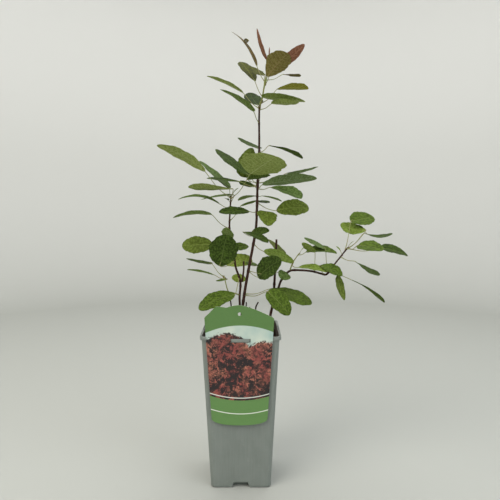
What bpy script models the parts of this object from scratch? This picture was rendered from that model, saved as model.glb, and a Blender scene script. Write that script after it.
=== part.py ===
# A young smoke bush, cut back once and in full leaf, in a tall square nursery pot.
# The thin plant card hangs on the front of the pot's rim.
# Sizes are written in millimetres and angles in degrees; MM turns a size into metres.
# +X is to the right, -Y is the side of the card, +Z is up.
# The origin is the centre of the pot's flat underside.

import math
import random

import bmesh
import bpy
from mathutils import Matrix, Vector
from mathutils.geometry import intersect_point_line

MM = 0.001
GAP = 0.3
SEED = 5

# Pot: half widths are measured from its axis to the flat of a side.
POT_HEIGHT = 218.5
FOOT_HALF = 42.3
NECK_HALF = 53.2
NECK_HEIGHT = 213.5
WALL = 1.3
FLOOR = 2.2
FOOT_CORNER = 7.0
RIM_HALF = 55.6
RIM_PLATE = 1.3
RIM_BAND = 1.3
RIM_CORNER = 9.0
GROOVE_DEPTH_BELOW_NECK = 2.0
GROOVE_START = 0.2
RIM_OVERLAP = 0.4
CARD_SLOT_LENGTH = 28.0
CARD_SLOT_WIDTH = 1.2
CARD_SLOT_OFFSET = 0.9
CARD_SLOT_FOOT = 200.0
LUG_LENGTH = 25.0
LUG_HEIGHT = 4.4
LUG_REACH = 1.7
LUG_ROOT = 0.7
LUG_LEVEL = 213.8
NOTCH_FOOT_WIDTH = 24.0
NOTCH_TOP_WIDTH = 17.0
NOTCH_HEIGHT = 8.0
NOTCH_DEPTH = 9.0
DRAIN_RADIUS = 4.0
DRAIN_OFFSET = 22.0
CUT_PAST = 2.0

# Compost: its level top is the ground that the stems stand on.
COMPOST_TOP = 204.0

# Card: heights run along the card from the middle of its slot. The outline's points are
# (across, height, handle across, handle height), and the handles give it its smooth bends.
CARD_THICKNESS = 0.6
CARD_PLAY = 0.15
CARD_OUTLINE = (
    (-48.2, 32.0, 0, 1.5),
    (-29.9, 47.1, 5, 0.6),
    (-18.3, 45.6, 3.5, 0.3),
    (-3.2, 49.0, 9, 0),
    (45.4, 31.0, 1.2, -1.5),
    (37.0, -110.5, -1, -4),
    (-1.4, -119.6, -22, 0),
    (-39.8, -110.5, -1, 4),
)
CARD_SLOT = (27.4, 5.2)
CARD_HOLE_RADIUS = 2.4
CARD_HOLE = (-1.0, 36.7)

# Stems: each path climbs from its foot, and its pieces are cut from it by distance along it.
LIMB_SIDES = 6
LIMB_RING_SPACING = 12.0
SNAG_RING_SPACING = 18.0
FLARE_EXTRA = 2.4
FLARE_FALL = 7.0
FOOT_RING_REACH = 1.5
END_STEP = 0.9
LEADER_PATH = ((0, 0, 204.3), (1.5, 0, 240), (5, 0, 270), (12, 2, 310), (18, 4, 342), (22, 5, 369),
               (24, 4, 430), (26, 2, 472), (26, 0, 529), (30, -1, 546), (33, -3, 563), (36, -5, 579))
LEFT_PATH = ((-3.6, -1.5, 250), (-2.2, -1.5, 264), (-1, 0, 286), (-7, 4, 304), (-10, 7, 319),
             (-17, 14, 362), (-15, 18, 410))
RIGHT_PATH = ((36, 5, 204.3), (43, 6, 237), (46, 7, 252), (48.5, 9, 279), (52, 17, 347))
ARM_PATH = ((51.8, 3, 263), (55, 0, 280), (59, -2, 290), (69, -6, 302), (81, -9, 304), (101, -14, 303),
            (115, -17, 299.5), (122, -18, 300), (133, -22, 316), (150, -26, 339))
LOW_TWIG_PATH = ((6.6, -3, 260), (19, -10, 265), (33, -18, 270))
ARM_TWIG_PATH = ((70.4, -7.4, 306), (74.5, -10, 316), (82, -14, 328))
GREEN_SHOOT_PATH = ((-5.8, -3.6, 268), (-13, -8, 272), (-19, -12, 276), (-25, -16, 302))
LEFT_SPUR_PATH = ((2.6, -2.4, 288), (3.6, -3.4, 302), (4, -4, 317))
SNAG_PATHS = {
    "cut_snag_left": ((-12, 10, 204.3), (-13.5, 10, 236), (-16, 10, 258)),
    "cut_snag_back": ((7, 12, 204.3), (6.5, 12, 232), (7.5, 12, 254)),
    "cut_snag_front": ((12, -10, 204.3), (11.5, -10, 232), (12.5, -10, 251)),
    "cut_snag_right": ((20, 10, 204.3), (21, 10, 243), (25, 8, 255)),
}
SNAG_RADII = (1.4, 0.9)

# Side branches: the stem that carries each path, that stem's radius there and the branch's own.
SEATS = {
    LEFT_PATH: (LEADER_PATH, 2.2, 1.7),
    LEFT_SPUR_PATH: (LEFT_PATH, 1.65, 1.4),
    ARM_PATH: (RIGHT_PATH, 1.9, 1.7),
    LOW_TWIG_PATH: (LEADER_PATH, 2.2, 1.2),
    GREEN_SHOOT_PATH: (LEFT_PATH, 1.7, 1.2),
    ARM_TWIG_PATH: (ARM_PATH, 1.6, 1.1),
}

# Bare stems: (node, path, from, to, lower radius, upper radius, extra radius at a flared foot).
LIMBS = (
    ("main_stem", LEADER_PATH, 0, 95, 2.3, 2.0, FLARE_EXTRA),
    ("left_stem", LEFT_PATH, 0, 40, 1.7, 1.6, 0),
    ("right_stem", RIGHT_PATH, 0, 144, 2.1, 1.5, FLARE_EXTRA),
    ("left_cut_spur", LEFT_SPUR_PATH, 0, 29, 1.4, 1.2, 0),
    ("arm_rise", ARM_PATH, 0, 46, 1.7, 1.6, 0),
    ("arm_reach", ARM_PATH, 46.3, 92.3, 1.6, 1.4, 0),
)

# Masses of leaves: the piece of stem that carries each (path, from, to, lower radius, upper radius),
# the number of young leaves at its tip, then one row for each leaf, from its foot upwards:
# (distance up the stem, (heading, rise, length) of the stalk,
#  (heading, rise, length, width, roll) of the blade).
# A heading turns from +X towards +Y, and a blade with no roll lies level from side to side.
# The young leaves at the tip are dealt out by the seeded rule in young_leaves.
MASSES = {
    "low_leader_leaves": (LEADER_PATH, 95.3, 148.5, 2.0, 1.9, 0, (
        (3, (344, -13, 17), (334, 38, 46, 30, -90)),
        (3, (252, -11, 12), (214, -22, 26, 14, 45)),
        (3, (39, -13, 58), (45, 11, 33, 20, -26)),
        (16, (105, 30, 12), (158, -9, 44, 22, 60)),
        (43, (355, -17, 16), (5, -22, 48, 29, -50)),
    )),
    "middle_leader_leaves": (LEADER_PATH, 148.8, 214.5, 1.9, 1.7, 0, (
        (3, (45, -10, 27), (55, -36, 42, 23, -55)),
        (6, (297, -6, 38), (216, 8, 44, 27, 82)),
        (32, (307, 11, 21), (281, -38, 32, 27, -10)),
        (36, (211, 9, 17), (206, -5, 43, 24, 27)),
        (45, (79, 18, 15), (60, 11, 35, 19, -12)),
        (49, (15, 0, 30), (10, -15, 50, 28, -70)),
        (51, (139, -14, 29), (142, -36, 29, 16, 48)),
        (58, (130, 6, 19), (130, -9, 39, 20, 30)),
        (59, (59, 4, 19), (54, -10, 40, 20, -35)),
    )),
    "upper_leader_leaves": (LEADER_PATH, 214.8, 326.5, 1.7, 1.3, 0, (
        (3, (341, 35, 9), (350, 6, 77, 42, -28)),
        (3, (324, 3, 32), (320, -21, 47, 28, -25)),
        (3, (119, 10, 12), (125, 12, 38, 21, 25)),
        (6, (175, 19, 23), (175, 5, 53, 27, 17)),
        (9, (148, 38, 19), (144, 36, 74, 38, 12)),
        (11, (12, 37, 19), (10, 9, 76, 36, -13)),
        (12, (241, 3, 29), (308, 4, 48, 26, -28)),
        (54, (38, 28, 22), (30, -12, 61, 30, -32)),
        (56, (109, 29, 19), (123, 20, 47, 26, 5)),
    )),
    "tip_leaves": (LEADER_PATH, 326.8, 378, 1.3, 0.9, 4, (
        (3, (222, 9, 14), (220, 16, 58, 28, 42)),
        (3, (180, 46, 33), (180, 22, 55, 26, 28)),
        (4, (308, 46, 19), (334, -13, 58, 28, -28)),
        (7, (293, 8, 12), (242, -2, 56, 28, 47)),
        (10, (41, 38, 41), (28, 8, 54, 26, -33)),
        (20, (121, 53, 31), (124, 41, 58, 30, 0)),
        (32, (272, 56, 16), (234, 6, 32, 16, 58)),
        (35, (303, 64, 14), (334, 31, 64, 35, -72)),
        (40, (142, 59, 28), (150, 52, 68, 22, -3)),
        (43, (40, 22, 32), (47, 9, 45, 18, -28)),
        (47, (276, 68, 22), (237, 55, 42, 14, 82)),
    )),
    "left_low_leaves": (LEFT_PATH, 40.3, 124.5, 1.6, 1.3, 0, (
        (3, (256, -38, 28), (197, -22, 55, 30, 27)),
        (27, (259, -1, 34), (224, 61, 45, 41, 117)),
        (44, (155, 15, 37), (161, -7, 48, 26, 68)),
        (48, (63, -15, 15), (54, 15, 29, 16, -28)),
        (59, (271, -17, 9), (253, 43, 31, 20, 110)),
        (75, (193, 40, 34), (190, -4, 56, 26, 13)),
    )),
    "left_top_leaves": (LEFT_PATH, 124.8, 163.5, 1.3, 0.9, 3, (
        (21, (180, 18, 14), (175, 11, 65, 28, 12)),
        (29, (116, 20, 18), (129, -1, 60, 28, 12)),
        (32, (98, 51, 26), (150, 37, 67, 32, -2)),
        (33, (213, 61, 16), (206, 5, 56, 28, 22)),
        (35, (295, 43, 52), (344, 13, 69, 40, 33)),
        (36, (216, 40, 57), (192, 28, 75, 36, -18)),
    )),
    "low_twig_leaves": (LOW_TWIG_PATH, 0, 33, 1.2, 0.8, 0, (
        (31, (15, 11, 18), (357, -19, 57, 34, -42)),
        (30, (349, 26, 3), (339, -40, 39, 33, -75)),
    )),
    "green_shoot_leaves": (GREEN_SHOOT_PATH, 0, 42, 1.2, 0.7, 0, (
        (36, (103, -34, 13), (131, 5, 24, 14, 8)),
        (37, (211, 3, 11), (207, 14, 45, 22, 13)),
        (39, (148, 36, 23), (161, 8, 43, 22, 7)),
    )),
    "arm_twig_leaves": (ARM_TWIG_PATH, 0, 27, 1.1, 0.8, 1, (
        (6, (294, 10, 27), (305, 2, 48, 25, -13)),
        (22, (49, 56, 30), (42, -14, 44, 24, -33)),
        (24, (341, 55, 12), (355, -11, 46, 26, -27)),
    )),
    "arm_end_leaves": (ARM_PATH, 92.6, 148, 1.4, 0.8, 3, (
        (3, (235, 40, 9), (350, 3, 31, 20, -62)),
        (12, (311, -18, 14), (279, -50, 40, 22, 35)),
        (21, (17, -34, 32), (17, -34, 67, 28, -22)),
        (39, (324, -19, 22), (315, -21, 40, 22, -12)),
        (49, (54, 65, 36), (30, 23, 45, 26, -35)),
        (51, (24, 36, 37), (140, 14, 39, 22, 32)),
        (53, (306, 31, 35), (306, 2, 46, 22, -13)),
        (54, (288, 14, 30), (299, -5, 45, 25, -23)),
        (54, (5, -2, 46), (5, -10, 41, 24, -38)),
    )),
}

# Leaf: the blade is a folded, arched oval whose stalk runs on into it as the rib.
BLADE_ROWS = (0.0, 0.18, 0.42, 0.66, 0.87, 1.0)
YOUNG_ROWS = (0.0, 0.35, 0.75, 1.0)
BLADE_THINNEST = 0.7
BLADE_SLENDERNESS = 85.0
WIDEST_POWER = 1.1
FULLNESS = 0.62
END_WIDTH = 0.22
FOLD_RANGE = (0.10, 0.28)
ARCH_RANGE = (0.02, 0.09)
TWIST_RANGE = (-22.0, 22.0)
RIB_REACH = 0.15
STALK_RADIUS = 0.85
STALK_FOOT_SWELL = 1.2
RIB_RADIUS = 0.6
STALK_SAG = 0.08

# Young leaves at the end of a growing shoot.
GOLDEN_TURN = 137.5
YOUNG_SPREAD = 0.3
YOUNG_STALK = (4.0, 7.0)
YOUNG_LENGTH = (13.0, 22.0)
YOUNG_RISE = (25.0, 65.0)
YOUNG_SLIMNESS = 0.5


def clear_scene():
    for item in list(bpy.data.objects):
        bpy.data.objects.remove(item, do_unlink=True)


def new_collection(name):
    group = bpy.data.collections.new(name)
    bpy.context.scene.collection.children.link(group)
    return group


def smooth_points(points, steps=6):
    """Points along the smooth curve that passes through the given ones."""
    knots = [Vector(point) for point in points]
    knots = [2 * knots[0] - knots[1]] + knots + [2 * knots[-1] - knots[-2]]
    track = []
    for a, b, c, d in zip(knots, knots[1:], knots[2:], knots[3:]):
        for step in range(steps):
            t = step / steps
            track.append(0.5 * (2 * b + (c - a) * t + (2 * a - 5 * b + 4 * c - d) * t * t
                                + (3 * b - a - 3 * c + d) * t * t * t))
    track.append(knots[-2])
    return track


def seated(path):
    """The path's smooth track, its foot slid up to its parent's side until GAP is left between them."""
    if path not in SEATS:
        return smooth_points(path)
    parent_path, parent_radius, radius = SEATS[path]
    foot = Vector(path[0])
    parent = smooth_points(parent_path)
    spots = []
    for start, end in zip(parent, parent[1:]):
        spot, share = intersect_point_line(foot, start, end)
        spots.append(start.lerp(end, min(1, max(0, share))))
    nearest = min(spots, key=lambda spot: (spot - foot).length)
    away = (foot - nearest).normalized()
    direction = (Vector(path[1]) - foot).normalized()
    tilt = math.sqrt(1 - direction.dot(away) ** 2)
    foot = nearest + away * (parent_radius + GAP + radius * tilt)
    return smooth_points((foot, *path[1:]))


def make_material(name, colour, roughness):
    material = bpy.data.materials.new(name)
    material.use_nodes = True
    shader = material.node_tree.nodes["Principled BSDF"]
    shader.inputs["Base Color"].default_value = (*colour, 1.0)
    shader.inputs["Roughness"].default_value = roughness
    shader.inputs["Metallic"].default_value = 0.0
    material.diffuse_color = (*colour, 1.0)
    return material


def add_object(name, mesh, group, material=None):
    item = bpy.data.objects.new(name, mesh)
    group.objects.link(item)
    if material:
        item.data.materials.clear()
        item.data.materials.append(material)
    return item


def evaluated_mesh(item):
    depsgraph = bpy.context.evaluated_depsgraph_get()
    return bpy.data.meshes.new_from_object(item.evaluated_get(depsgraph))


def hide_tool(item):
    item.hide_render = True
    item.display_type = "WIRE"
    return item


def square_frustum(name, halves, levels, corner, group, material=None):
    """A tapering square block with round upright corners."""
    shape = bmesh.new()
    bmesh.ops.create_cube(shape, size=2.0)
    for vert in shape.verts:
        end = 0 if vert.co.z < 0 else 1
        half = halves[end] * MM
        vert.co = (math.copysign(half, vert.co.x), math.copysign(half, vert.co.y), levels[end] * MM)
    if corner:
        uprights = [edge for edge in shape.edges if edge.verts[0].co.z != edge.verts[1].co.z]
        bmesh.ops.bevel(shape, geom=uprights, offset=corner * MM, segments=4, profile=0.5, affect="EDGES")
    bmesh.ops.recalc_face_normals(shape, faces=shape.faces)
    mesh = bpy.data.meshes.new(name)
    shape.to_mesh(mesh)
    shape.free()
    return add_object(name, mesh, group, material)


def block(name, low, high, group):
    """A plain box between two opposite corners."""
    shape = bmesh.new()
    bmesh.ops.create_cube(shape, size=1.0)
    for vert in shape.verts:
        vert.co = [(high[axis] if vert.co[axis] > 0 else low[axis]) * MM for axis in range(3)]
    bmesh.ops.recalc_face_normals(shape, faces=shape.faces)
    mesh = bpy.data.meshes.new(name)
    shape.to_mesh(mesh)
    shape.free()
    return add_object(name, mesh, group)


def boolean(target, tool, operation):
    modifier = target.modifiers.new(tool.name, "BOOLEAN")
    modifier.operation = operation
    modifier.solver = "EXACT"
    modifier.object = hide_tool(tool)


def drain_notch(name, turn, group):
    """The drain gap in the middle of one side of the foot, narrower at its top."""
    shape = bmesh.new()
    bmesh.ops.create_cube(shape, size=2.0)
    for vert in shape.verts:
        width = NOTCH_FOOT_WIDTH if vert.co.z < 0 else NOTCH_TOP_WIDTH
        across = math.copysign(width / 2, vert.co.x)
        along = -FOOT_HALF - 3 if vert.co.y < 0 else -FOOT_HALF + NOTCH_DEPTH
        vert.co = (across * MM, along * MM, (-1 if vert.co.z < 0 else NOTCH_HEIGHT) * MM)
    bmesh.ops.recalc_face_normals(shape, faces=shape.faces)
    mesh = bpy.data.meshes.new(name)
    shape.to_mesh(mesh)
    shape.free()
    mesh.transform(Matrix.Rotation(turn, 4, "Z"))
    return add_object(name, mesh, group)


def wall_half(level):
    """Half width of the pot's outer wall at a height."""
    return FOOT_HALF + (NECK_HALF - FOOT_HALF) * level / NECK_HEIGHT


def rim_groove(tools):
    """The hollow under the rim, between the wall and the turned-down band."""
    outer_half = RIM_HALF - RIM_BAND
    core_half = NECK_HALF + GROOVE_START
    levels = (NECK_HEIGHT - GROOVE_DEPTH_BELOW_NECK, POT_HEIGHT - RIM_PLATE)
    groove = square_frustum("rim_groove", (outer_half, outer_half), levels, RIM_CORNER - RIM_BAND, tools)
    core_levels = (levels[0] - 1, levels[1] + 1)
    core = square_frustum("rim_core", (core_half, core_half), core_levels, FOOT_CORNER, tools)
    boolean(groove, core, "DIFFERENCE")
    return groove


def make_pot(group, tools, material):
    pot = square_frustum("pot", (FOOT_HALF, NECK_HALF), (0, NECK_HEIGHT), FOOT_CORNER, group, material)
    rim_levels = (NECK_HEIGHT - RIM_OVERLAP, POT_HEIGHT)
    rim = square_frustum("rim_block", (RIM_HALF, RIM_HALF), rim_levels, RIM_CORNER, tools)
    boolean(pot, rim, "UNION")
    boolean(pot, rim_groove(tools), "DIFFERENCE")
    lug_front = -RIM_HALF - LUG_REACH
    lug = block("rim_lug", (-LUG_LENGTH / 2, lug_front, LUG_LEVEL - LUG_HEIGHT / 2),
                (LUG_LENGTH / 2, -NECK_HALF + LUG_ROOT, LUG_LEVEL + LUG_HEIGHT / 2), tools)
    boolean(pot, lug, "UNION")
    open_top = POT_HEIGHT + CUT_PAST
    inner_halves = (wall_half(FLOOR) - WALL, wall_half(open_top) - WALL)
    inner = square_frustum("inner_block", inner_halves, (FLOOR, open_top), FOOT_CORNER - WALL, tools)
    boolean(pot, inner, "DIFFERENCE")
    for side in range(4):
        turn = side * math.pi / 2
        boolean(pot, drain_notch(f"notch_{side}", turn, tools), "DIFFERENCE")
        if side:
            slot_middle = NECK_HALF + CARD_SLOT_OFFSET
            low = (-CARD_SLOT_LENGTH / 2, -slot_middle - CARD_SLOT_WIDTH / 2, CARD_SLOT_FOOT)
            high = (CARD_SLOT_LENGTH / 2, -slot_middle + CARD_SLOT_WIDTH / 2, open_top)
            slot = block(f"rim_slot_{side}", low, high, tools)
            slot.data.transform(Matrix.Rotation(turn, 4, "Z"))
            boolean(pot, slot, "DIFFERENCE")
        shape = bmesh.new()
        bmesh.ops.create_cone(shape, cap_ends=True, segments=16, radius1=DRAIN_RADIUS * MM,
                              radius2=DRAIN_RADIUS * MM, depth=10 * MM)
        mesh = bpy.data.meshes.new(f"drain_{side}")
        shape.to_mesh(mesh)
        shape.free()
        offset = Matrix.Rotation(turn + math.pi / 4, 4, "Z") @ Vector((DRAIN_OFFSET * MM, 0, 0))
        mesh.transform(Matrix.Translation(offset))
        boolean(pot, add_object(f"drain_{side}", mesh, tools), "DIFFERENCE")
    return pot


def make_compost(group, material):
    low = FLOOR + GAP
    high = COMPOST_TOP
    halves = (wall_half(low) - WALL - GAP, wall_half(high) - WALL - GAP)
    return square_frustum("compost", halves, (low, high), FOOT_CORNER - WALL - GAP, group, material)


def card_matrix():
    """Stands the card on its slot, just clear of the rim and leaning like the pot's wall."""
    lean = math.atan2(NECK_HALF - FOOT_HALF, NECK_HEIGHT)
    clearance = RIM_HALF + GAP + CARD_THICKNESS / 2 + CARD_PLAY
    place = Matrix.Translation(Vector((0, -clearance * MM, LUG_LEVEL * MM)))
    return place @ Matrix.Rotation(math.pi / 2 + lean, 4, "X")


def add_bezier(curve, points):
    """A closed outline: each point is (x, y, handle x, handle y), with no handle at a corner."""
    spline = curve.splines.new("BEZIER")
    spline.bezier_points.add(len(points) - 1)
    for point, (x, y, reach_x, reach_y) in zip(spline.bezier_points, points):
        point.co = (x * MM, y * MM, 0)
        point.handle_left_type = "FREE"
        point.handle_right_type = "FREE"
        point.handle_left = ((x - reach_x) * MM, (y - reach_y) * MM, 0)
        point.handle_right = ((x + reach_x) * MM, (y + reach_y) * MM, 0)
    spline.use_cyclic_u = True
    spline.resolution_u = 5


def make_card(group, tools, material):
    outline = bpy.data.curves.new("card_outline", "CURVE")
    outline.dimensions = "2D"
    outline.fill_mode = "BOTH"
    outline.extrude = CARD_THICKNESS / 2 * MM
    add_bezier(outline, CARD_OUTLINE)
    blank = add_object("card_blank", outline, tools)
    mesh = evaluated_mesh(blank)
    bpy.data.objects.remove(blank, do_unlink=True)
    shape = bmesh.new()
    shape.from_mesh(mesh)
    bmesh.ops.remove_doubles(shape, verts=shape.verts, dist=0.01 * MM)
    bmesh.ops.recalc_face_normals(shape, faces=shape.faces)
    shape.to_mesh(mesh)
    shape.free()
    card = add_object("plant_card", mesh, group, material)
    card.matrix_world = card_matrix()
    half_length = CARD_SLOT[0] / 2
    half_height = CARD_SLOT[1] / 2
    slot = block("card_slot", (-half_length, -half_height, -2), (half_length, half_height, 2), tools)
    slot.matrix_world = card_matrix()
    boolean(card, slot, "DIFFERENCE")
    shape = bmesh.new()
    bmesh.ops.create_cone(shape, cap_ends=True, segments=16, radius1=CARD_HOLE_RADIUS * MM,
                          radius2=CARD_HOLE_RADIUS * MM, depth=4 * MM)
    mesh = bpy.data.meshes.new("card_hole")
    shape.to_mesh(mesh)
    shape.free()
    mesh.transform(Matrix.Translation(Vector((CARD_HOLE[0] * MM, CARD_HOLE[1] * MM, 0))))
    hole = add_object("card_hole", mesh, tools)
    hole.matrix_world = card_matrix()
    boolean(card, hole, "DIFFERENCE")
    return card


def point_along(track, distance):
    """The point and the direction at a distance along a track."""
    for start, end in zip(track, track[1:]):
        step = (end - start).length
        if distance <= step or end is track[-1]:
            direction = (end - start).normalized()
            return start + direction * distance, direction
        distance -= step


def tube(name, points, radii, tools, section=None):
    """A closed tapering tube along the points: round, or with a section curve's shape."""
    curve = bpy.data.curves.new(name, "CURVE")
    curve.dimensions = "3D"
    curve.use_fill_caps = True
    if section:
        curve.bevel_mode = "OBJECT"
        curve.bevel_object = section
    else:
        curve.bevel_depth = MM
        curve.bevel_resolution = LIMB_SIDES // 2 - 2
    spline = curve.splines.new("POLY")
    spline.points.add(len(points) - 1)
    for knot, point, radius in zip(spline.points, points, radii):
        knot.co = (*(point * MM), 1.0)
        knot.radius = radius
    item = add_object(name, curve, tools)
    mesh = evaluated_mesh(item)
    bpy.data.objects.remove(item, do_unlink=True)
    bpy.data.curves.remove(curve)
    shape = bmesh.new()
    shape.from_mesh(mesh)
    bmesh.ops.remove_doubles(shape, verts=shape.verts, dist=0.001 * MM)
    bmesh.ops.recalc_face_normals(shape, faces=shape.faces)
    shape.to_mesh(mesh)
    shape.free()
    mesh.name = name
    return mesh


def limb_mesh(name, path, start, end, low_radius, high_radius, flare, tools, spacing=LIMB_RING_SPACING):
    """The piece of a stem between two distances along its path, tapering and flared at its foot."""
    track = seated(path)
    count = max(2, round((end - start) / spacing))
    distances = [start + (end - start) * step / count for step in range(count + 1)]
    distances += [start + END_STEP, end - END_STEP]
    if flare:
        distances += [start + FLARE_FALL / 3, start + FLARE_FALL]
    points = []
    radii = []
    for distance in sorted(distances):
        share = (distance - start) / (end - start)
        points.append(point_along(track, distance)[0])
        swell = flare * math.exp(-(distance - start) / FLARE_FALL)
        radii.append(low_radius + (high_radius - low_radius) * share + swell)
    mesh = tube(name, points, radii, tools)
    if flare:
        level_foot(mesh)
    return mesh


def level_foot(mesh):
    """Lays the lowest ring of a stem flat on the ground."""
    foot = min(vert.co.z for vert in mesh.vertices)
    limit = foot + FOOT_RING_REACH * MM
    for vert in mesh.vertices:
        if vert.co.z < limit:
            vert.co.z = (COMPOST_TOP + GAP) * MM


def direction_of(heading, rise):
    turn = math.radians(heading)
    lift = math.radians(rise)
    return Vector((math.cos(lift) * math.cos(turn), math.cos(lift) * math.sin(turn), math.sin(lift)))


def blade_frame(heading, rise, roll):
    """The blade's own axes: along it, out to one side, and up from its upper face."""
    along = direction_of(heading, rise)
    side = along.cross(Vector((0, 0, 1))).normalized()
    up = side.cross(along)
    turn = math.radians(roll)
    rolled = side * math.cos(turn) + up * math.sin(turn)
    return along, rolled, rolled.cross(along)


def half_width(t):
    """Half width of the oval blade at a share of its length, 1 at its widest."""
    return max(math.sin(math.pi * t ** WIDEST_POWER) ** FULLNESS if 0 < t < 1 else 0, END_WIDTH)


def leaf_shape(rng):
    return (rng.uniform(*FOLD_RANGE), rng.uniform(*ARCH_RANGE), math.radians(rng.uniform(*TWIST_RANGE)))


def rib_point(base, frame, length, arch, t):
    return base + frame[0] * length * t + frame[2] * arch * length * 4 * t * (1 - t)


def blade_mesh(name, base, frame, length, width, shape_values):
    """The blade's middle surface: three points across at each row along its length."""
    fold, arch, twist = shape_values
    verts = []
    rows = BLADE_ROWS if length > YOUNG_LENGTH[1] else YOUNG_ROWS
    for t in rows:
        middle = rib_point(base, frame, length, arch, t)
        turn = twist * (t - 0.3)
        side = frame[1] * math.cos(turn) + frame[2] * math.sin(turn)
        up = side.cross(frame[0])
        reach = width / 2 * half_width(t)
        lift = up * fold * reach
        verts += [middle - side * reach + lift, middle, middle + side * reach + lift]
    faces = []
    for row in range(len(rows) - 1):
        low = row * 3
        faces += [(low, low + 1, low + 4, low + 3), (low + 1, low + 2, low + 5, low + 4)]
    mesh = bpy.data.meshes.new(name)
    mesh.from_pydata([vert * MM for vert in verts], [], faces)
    return mesh


def add_leaf(name, track, row, rng, group, tools, section):
    """One leaf: its stalk is sunk in the stem and runs on as the rib under the blade."""
    height, (stalk_heading, stalk_rise, stalk_length), (heading, rise, length, width, roll) = row
    root = point_along(track, height)[0]
    base = root + direction_of(stalk_heading, stalk_rise) * stalk_length
    frame = blade_frame(heading, rise, roll)
    shape_values = leaf_shape(rng)
    arch = shape_values[1]
    middle = (root + base) / 2 - Vector((0, 0, STALK_SAG * stalk_length))
    points = [root, middle, base, rib_point(base, frame, length, arch, RIB_REACH)]
    if length <= YOUNG_LENGTH[1]:
        points.pop(1)
    radii = (STALK_RADIUS * STALK_FOOT_SWELL, STALK_RADIUS, STALK_RADIUS, RIB_RADIUS)
    add_object(name + "_stalk", tube(name + "_stalk", points, radii, tools, section), group)
    mesh = blade_mesh(name + "_blade", base, frame, length, width, shape_values)
    blade = add_object(name + "_blade", mesh, group)
    skin = blade.modifiers.new("thickness", "SOLIDIFY")
    skin.thickness = max(BLADE_THINNEST, length / BLADE_SLENDERNESS) * MM
    skin.offset = 0.0


def young_leaves(count, stem_length, rng):
    """Small leaves in a spiral round the end of a shoot."""
    rows = []
    for index in range(count):
        share = 1 - YOUNG_SPREAD * index / max(1, count)
        heading = index * GOLDEN_TURN + rng.uniform(-20, 20)
        rise = rng.uniform(*YOUNG_RISE)
        length = rng.uniform(*YOUNG_LENGTH)
        stalk = (heading, rise, rng.uniform(*YOUNG_STALK))
        blade = (heading, rise - 15, length, length * YOUNG_SLIMNESS, 0)
        rows.append((stem_length * share - 1, stalk, blade))
    return rows


def outer_shell(mesh):
    """Keeps the largest closed skin, so that a hollow sealed between two leaves is filled."""
    shape = bmesh.new()
    shape.from_mesh(mesh)
    unseen = set(shape.faces)
    skins = []
    while unseen:
        front = [unseen.pop()]
        skin = list(front)
        while front:
            face = front.pop()
            near = {other for edge in face.edges for other in edge.link_faces} & unseen
            unseen -= near
            skin += near
            front += near
        skins.append(skin)
    skins.sort(key=len)
    loose = [face for skin in skins[:-1] for face in skin]
    bmesh.ops.delete(shape, geom=loose, context="FACES")
    shape.to_mesh(mesh)
    shape.free()


def make_mass(name, values, group, tools, material, section):
    path, start, end, low_radius, high_radius, young, rows = values
    rng = random.Random(f"{SEED} {name}")
    stem_mesh = limb_mesh(name, path, start, end, low_radius, high_radius, 0, tools)
    stem = add_object(name, stem_mesh, group, material)
    track = seated(path)
    leaves = new_collection(name + "_parts")
    for index, row in enumerate(list(rows) + young_leaves(young, end - start, rng)):
        row = (start + row[0], *row[1:])
        add_leaf(f"{name}_{index}", track, row, rng, leaves, tools, section)
    join = stem.modifiers.new("leaves", "BOOLEAN")
    join.operation = "UNION"
    join.solver = "EXACT"
    join.operand_type = "COLLECTION"
    join.collection = leaves
    mesh = evaluated_mesh(stem)
    outer_shell(mesh)
    stem.modifiers.clear()
    stem.data = mesh
    mesh.name = name
    for item in list(leaves.objects):
        bpy.data.objects.remove(item, do_unlink=True)
    bpy.data.collections.remove(leaves)
    return stem


def three_sided_section(tools):
    """The section of a leaf stalk, of unit radius, as a guide for the tubes."""
    curve = bpy.data.curves.new("stalk_section", "CURVE")
    curve.dimensions = "2D"
    spline = curve.splines.new("POLY")
    spline.points.add(2)
    for index, point in enumerate(spline.points):
        angle = index * 2 * math.pi / 3
        point.co = (math.cos(angle) * MM, math.sin(angle) * MM, 0, 1)
    spline.use_cyclic_u = True
    return hide_tool(add_object("stalk_section", curve, tools))


def main():
    clear_scene()
    plant = new_collection("smoke_bush_in_pot")
    tools = new_collection("cutters_and_guides")
    plastic = make_material("pot_plastic", (0.18, 0.20, 0.18), 0.45)
    soil = make_material("compost_soil", (0.03, 0.02, 0.015), 0.95)
    card_print = make_material("card_print", (0.12, 0.26, 0.08), 0.35)
    bark = make_material("stem_bark", (0.06, 0.03, 0.025), 0.7)
    foliage = make_material("leaf_green", (0.07, 0.12, 0.02), 0.55)
    make_pot(plant, tools, plastic)
    make_compost(plant, soil)
    make_card(plant, tools, card_print)
    section = three_sided_section(tools)
    for name, path, start, end, low_radius, high_radius, flare in LIMBS:
        mesh = limb_mesh(name, path, start, end, low_radius, high_radius, flare, tools)
        add_object(name, mesh, plant, bark)
    for name, path in SNAG_PATHS.items():
        length = sum((b - a).length for a, b in zip(smooth_points(path), smooth_points(path)[1:]))
        mesh = limb_mesh(name, path, 0, length, *SNAG_RADII, 0, tools, spacing=SNAG_RING_SPACING)
        level_foot(mesh)
        add_object(name, mesh, plant, bark)
    for name, values in MASSES.items():
        make_mass(name, values, plant, tools, foliage, section)
    for item in plant.objects:
        if item.name not in ("pot", "compost", "plant_card"):
            item.data.shade_smooth()
            item.data.set_sharp_from_angle(angle=math.radians(40))


main()
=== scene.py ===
# A young smoke bush in full leaf, in a tall square nursery pot with its plant card: the looks.
# Lengths in the dictionaries are millimetres and turns are degrees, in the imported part's own frame.
# A heading turns from +X towards +Y, and a rise lifts from the level.

import functools
import math
import random
import re

import bmesh
import bpy
import numpy as np
from mathutils import Matrix


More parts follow.
